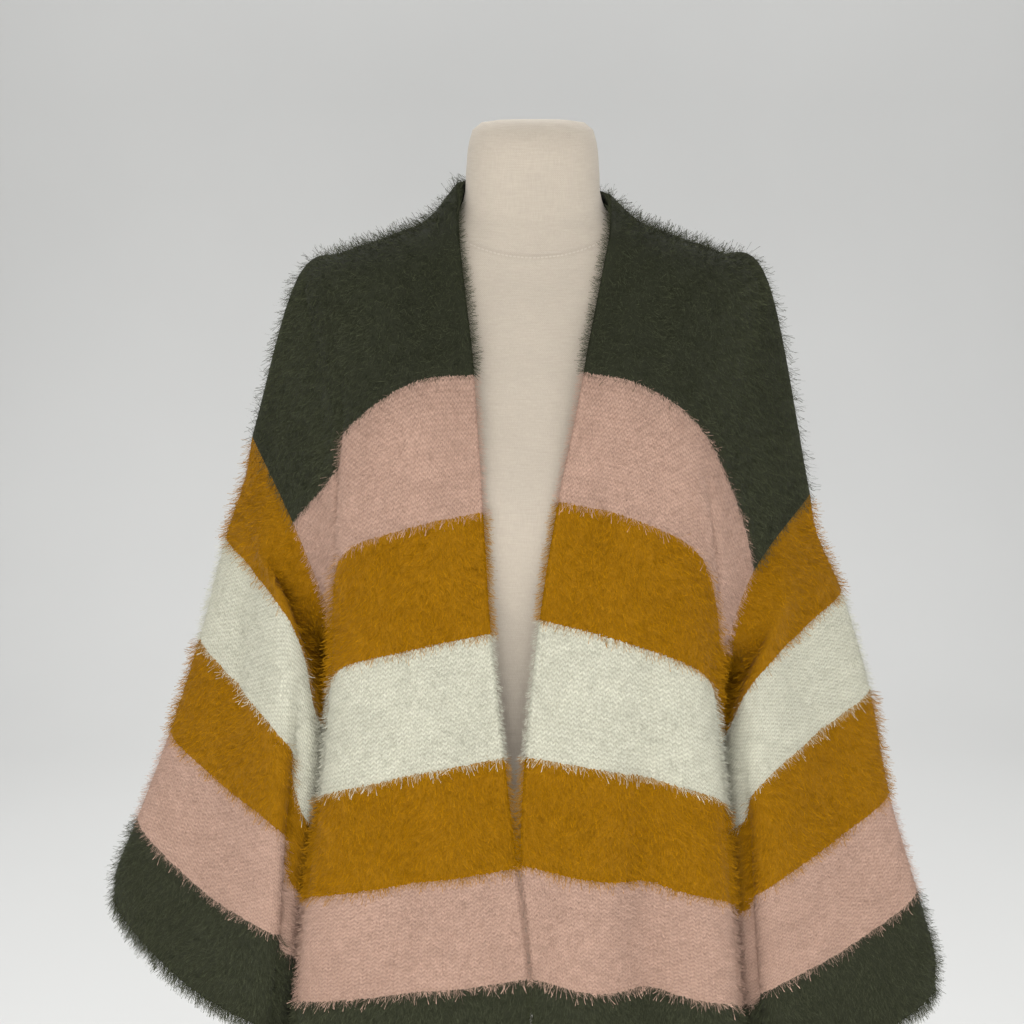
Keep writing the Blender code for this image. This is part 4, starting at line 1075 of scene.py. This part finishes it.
def add_pile(cloth, normals, bands, material, random):
    """Strands of pile as thin triangles that start on the knit and lie down along it."""
    name, grid, stripe, across, is_tube, width = cloth
    if is_tube:
        grid = np.concatenate([grid, grid[:, :1]], axis=1)
        normals = np.concatenate([normals, normals[:, :1]], axis=1)
        across = np.append(across, across[0] + (1 if across[1] > across[0] else -1))
    surface = grid + normals * SHELL_OUTER * ROOT_DEPTH
    down_side = surface[1:, :-1] - surface[:-1, :-1]
    right_side = surface[:-1, 1:] - surface[:-1, :-1]
    areas = np.linalg.norm(np.cross(down_side, right_side), axis=2)
    free_edges = PIECES[name].free_edges
    picks = [pick_cells(areas, count, random) for count in PIECES[name].strands]
    picks += [pick_edge(surface, edge, random) for edge in free_edges]
    kinds = [LYING, STANDING]
    kinds += [HEM_FRINGE if edge == "bottom" else FRONT_FRINGE for edge in free_edges]
    counts = [len(pick[0]) for pick in picks]
    row, column, fall, along, facing = (np.concatenate(parts) for parts in zip(*picks))
    fall, along, facing = fall[:, None], along[:, None], facing[:, None]
    count = len(row)

    def of_kind(field):
        """A field of each strand's kind: a number, or a random one in a range."""
        values = np.array([np.ravel(getattr(kind, field)) for kind in kinds])
        values = np.repeat(values, counts, axis=0)
        if values.shape[1] == 1:
            return values
        return values[:, :1] + (values[:, 1:] - values[:, :1]) * random.random((count, 1))

    def blend(field):
        """The grid's values at the roots."""
        top = (1 - along) * field[row, column] + along * field[row, column + 1]
        low = (1 - along) * field[row + 1, column] + along * field[row + 1, column + 1]
        return (1 - fall) * top + fall * low

    root = blend(surface)
    normal = unit(blend(normals))
    down = unit(surface[row + 1, column] - surface[row, column])
    side = unit(np.cross(down, normal))
    if np.mean(np.sum(side * (surface[row, column + 1] - surface[row, column]), axis=1)) < 0:
        side = -side
    place = stripe[row][:, None] * (1 - fall) + stripe[row + 1][:, None] * fall
    where = across[column][:, None] * (1 - along) + across[column + 1][:, None] * along
    shown = shown_stripe(name, place, where) + random.normal(0, STRIPE_STRAY, (count, 1))
    shown = np.maximum(shown, FIRST_STRIPE)
    yarns = np.array([YARNS[band][1:] for band in bands])
    yarn = yarns[np.clip(shown[:, 0].astype(int), 0, len(bands) - 1)]
    pile, stitches, painted_tip_light = yarn[:, :1], yarn[:, 1:2], yarn[:, 2:]

    # which way a strand lies: mostly down the cloth, swirling slowly, in tufts
    u, v = where * width, place * BAND
    tuft_u, tuft_v = np.floor(u / CLUMP), np.floor(v / CLUMP)
    centre_u = (tuft_u + hash_noise(tuft_u, tuft_v, 1)) * CLUMP
    centre_v = (tuft_v + 1 + hash_noise(tuft_u, tuft_v, 2)) * CLUMP
    angle = sum(size * np.sin(a * u + b * v + start) for size, a, b, start in SWIRLS)
    turn = CLUMP_TURN * (hash_noise(tuft_u, tuft_v, 3) - 0.5)
    angle += random.normal(0, 1, (count, 1)) * of_kind("spread") + turn
    comb = down * np.cos(angle) + side * np.sin(angle)
    comb += CLUMP_PULL * ((centre_u - u) * side + (centre_v - v) * down)
    fan = random.normal(0, FAN, (count, 1))
    outward = side * facing * np.cos(fan) + down * (FAN_DROP + np.sin(fan))
    comb = unit(np.where(facing == 0, comb, outward))
    comb = unit(comb - np.array([0, 0, 1]) * of_kind("droop"))
    lift = of_kind("lift")
    start = unit(comb * np.sqrt(np.maximum(1 - lift**2, 0)) + normal * lift)
    tip = root + start * (of_kind("length") * (PILE_LENGTH[0] + PILE_LENGTH[1] * pile))
    flat = unit(np.cross(start, random.normal(0, 1, (count, 3)) + normal * FACE_OUT))
    fine = PILE_WIDTH[0] + PILE_WIDTH[1] * pile
    half = flat * of_kind("width") * fine / 2

    # painted shade over the knit's gaps and painted light over its loops, with tone that differs at
    # random from strand to strand and tuft to tuft
    rise = (0.5 - np.abs(np.mod(u / STITCH_WIDTH, 1) - 0.5)) * STITCH_SLANT
    loops = 0.5 + 0.5 * np.sin(2 * np.pi * (v / STITCH_HEIGHT + rise))
    shade = 0.5 + STRAND_SHADE * fine * random.normal(0, 1, (count, 1))
    shade += CLUMP_SHADE * (hash_noise(tuft_u, tuft_v, 4) - 0.5)
    shade = np.clip(shade + PAINTED_STITCH_SHADING * stitches * (loops - 0.5), 0, 1)
    lie = unit(normal + LIE_STRAY * random.normal(0, 1, (count, 3)) + LIE_LEAN * start)
    brushed = random.random((count, 1)) < of_kind("brushed")
    corners = [
        np.where(brushed, root, root - half),
        np.where(brushed, tip + half, root + half),
        np.where(brushed, tip - half, tip),
    ]
    points = np.stack(corners, axis=1).reshape(-1, 3)
    faces = np.arange(len(points)).reshape(-1, 3)
    # painted light towards each strand's tip, standing in for light that shines through the fuzz
    ends = np.where(brushed, [[0.0, 1.0, 1.0]], [[0.0, 0.0, 1.0]])
    values = {
        "stripe": np.repeat(shown, 3),
        "shade": np.repeat(shade, 3),
        "tip": (ends * painted_tip_light).ravel(),
        "lie": np.repeat(lie, 3, axis=0),
    }
    return add_mesh(name + "_pile", points, faces, material, values, smooth_angle=None)


# ---------------- the pieces


def dress(node, slot, piece, *others):
    """Puts a piece in the place of a solid, with others that go with it."""
    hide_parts(node)
    for part in (piece, *others):
        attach(part, "root")


def add_form():
    """The torso, with the ridge of the seam that joins its neck."""
    extra = np.arange(NECK_SEAM_Z + SEAM_SPAN[0], NECK_SEAM_Z + SEAM_SPAN[1], SEAM_STEP)
    rings = torso_rings(torso_sections(FORM_STEP, extra), FORM_SIDES)
    for ring in rings:
        x, y, z = ring.T
        seam = NECK_SEAM_Z + NECK_SEAM_SLOPE * y + NECK_SEAM_CURVE * x**2
        ridge = 1 + SEAM_RIDGE / NECK_RADIUS * np.exp(-(((z - seam) / SEAM_WIDTH) ** 2))
        ring[:, :2] *= ridge[:, None]
    torso = add_mesh("form_torso_linen", *stacked_rings(rings), linen_material())
    dress("form_torso", "linen_cover", torso)


def turned(name, profile, material, sides):
    """A turned piece, from its profile as (radius, height)."""
    across, along = circle(sides)
    rings = [
        np.stack([radius * across, radius * along, np.full_like(across, height)], -1)
        for radius, height in profile
    ]
    return add_mesh(name, *stacked_rings(rings), material, smooth_angle=35)


def rounded(radius, height, edge, start, stop, steps=5):
    """Points of a quarter round about a corner's centre, as (radius, height)."""
    angles = np.radians(np.linspace(start, stop, steps))
    return [(radius + edge * np.cos(angle), height + edge * np.sin(angle)) for angle in angles]


def add_stand():
    """The round base with its hub, and the pole with the flange under the torso."""
    paint = painted_material()
    edge = STAND_EDGE
    base_profile = [
        *rounded(BASE_RADIUS - edge, edge, edge, -90, 0),
        *rounded(BASE_RADIUS - edge, BASE_HEIGHT - 2 * edge, edge, 0, BASE_RIM),
        (BASE_HUB_RADIUS + 2 * edge, BASE_HEIGHT - BASE_CREST),
        (BASE_HUB_RADIUS + edge, BASE_HEIGHT),
        (BASE_HUB_RADIUS, BASE_HEIGHT + edge),
        *rounded(BASE_HUB_RADIUS - edge / 2, BASE_HUB_HEIGHT - edge / 2, edge / 2, 0, 90),
    ]
    base = turned("form_base_painted", base_profile, paint, sides=96)
    top = TORSO[0, 0] - STAND_GAP
    flange = top - FLANGE_HEIGHT
    pole_profile = [
        (POLE_RADIUS, BASE_HUB_HEIGHT + STAND_GAP),
        *((POLE_RADIUS + out, flange - below) for out, below in POLE_COLLAR),
        (FLANGE_RADIUS - FLANGE_EDGE, flange),
        (FLANGE_RADIUS, flange + FLANGE_EDGE),
        (FLANGE_RADIUS, top),
    ]
    pole = turned("form_pole_painted", pole_profile, paint, sides=64)
    dress("form_base", "painted_steel", base)
    dress("form_pole", "painted_steel", pole)


def add_cardigan():
    """The five knitted pieces: each has its knit and its pile."""
    random = np.random.default_rng(RANDOM_SEED)
    looks = [
        (bands, knit_material("knit_" + kind, bands), pile_material("pile_" + kind, bands))
        for kind, bands in (("body", BODY_BANDS), ("sleeve", SLEEVE_BANDS))
    ]
    cloths = cloth_pieces()
    for cloth, normals in zip(cloths, shared_normals(cloths)):
        bands, knit, strands = looks[cloth.is_tube]
        shell = add_shell(cloth, normals, knit)
        pile = add_pile(cloth, normals, bands, strands, random)
        dress(cloth.name, PIECES[cloth.name].slot, shell, pile)


# ---------------- stage


FLOOR_HALF = 4.5  # half its width
FLOOR_FRONT = -3.2
FLOOR_BACK = 1.6  # where it starts to sweep up
SWEEP = 1.2  # radius of the sweep
SWEEP_STEPS = (6, 90, 15)  # its first and last angle in degrees, and how many there are
BACKDROP_HEIGHT = 4.2

CAMERA_PLACE = (-0.0178, -1.156, 1.5188)
CAMERA_DROP = 18.5  # degrees below the horizon
FOCAL_SHARE = 1300 / 1024  # focal length over the width of the frame
SENSOR = 36

# Each soft light: its place, what it faces, its width and height, its power and its colour.
WHITE = (1.0, 1.0, 1.0)
LIGHTS = {
    "key": ((-0.9, -2.6, 1.35), (0, 0, 1.0), (2.0, 1.8), 29, (1.0, 0.99, 0.97)),
    "room": ((0.5, -2.7, 0.7), (0, 0, 1.0), (3.0, 1.4), 32, WHITE),
    "top": ((0.0, 1.1, 2.7), (0, 0, 1.2), (2.4, 1.2), 36, WHITE),
    "side_right": ((-1.9, -0.2, 1.5), (-0.3, 0, 0.9), (1.0, 1.6), 12, WHITE),
    "front": ((0.0, -1.9, 1.0), (0, 0, 0.95), (0.7, 0.7), 14, WHITE),
    "side_left": ((1.9, -0.2, 1.5), (0.3, 0, 0.9), (1.0, 1.6), 12, WHITE),
    "backdrop": ((0.0, 0.9, 3.6), (0, 1.9, 0.6), (3.6, 1.6), 26, WHITE),
}
AIR_COLOUR = (0.98, 0.99, 1.0, 1)
AIR_STRENGTH = 0.50


def add_floor():
    """A plain pale floor that sweeps up into a backdrop."""
    profile = [(FLOOR_FRONT, 0.0), (FLOOR_BACK, 0.0)]
    for angle in np.radians(np.linspace(*SWEEP_STEPS)):
        profile.append((FLOOR_BACK + SWEEP * np.sin(angle), SWEEP - SWEEP * np.cos(angle)))
    profile.append((FLOOR_BACK + SWEEP, BACKDROP_HEIGHT))
    points = [(x, y, z) for y, z in profile for x in (-FLOOR_HALF, FLOOR_HALF)]
    faces = [[2 * row, 2 * row + 1, 2 * row + 3, 2 * row + 2] for row in range(len(profile) - 1)]
    floor = add_mesh("studio_floor", points, faces, floor_material())


def add_light(name, place, aim, size, power, colour):
    lamp = bpy.data.lights.new(name, "AREA")
    lamp.shape = "RECTANGLE"
    lamp.size, lamp.size_y = size
    lamp.energy = power
    lamp.color = colour
    light = add_object(name, lamp)
    light.location = place
    light.rotation_euler = (Vector(aim) - Vector(place)).to_track_quat("-Z", "Y").to_euler()


def add_camera():
    camera = bpy.data.cameras.new("camera")
    camera.sensor_width = SENSOR
    camera.lens = SENSOR * FOCAL_SHARE
    holder = add_object("camera", camera)
    holder.location = CAMERA_PLACE
    holder.rotation_euler = (np.radians(90 - CAMERA_DROP), 0, 0)
    bpy.context.scene.camera = holder


def add_world():
    world = bpy.data.worlds.new("studio")
    world.use_nodes = True
    background = world.node_tree.nodes["Background"]
    background.inputs["Color"].default_value = AIR_COLOUR
    background.inputs["Strength"].default_value = AIR_STRENGTH
    bpy.context.scene.world = world
    bpy.context.scene.view_settings.view_transform = "Standard"


add_form()
add_stand()
add_cardigan()
add_floor()
add_camera()
add_world()
for light_name, light_settings in LIGHTS.items():
    add_light(light_name, *light_settings)
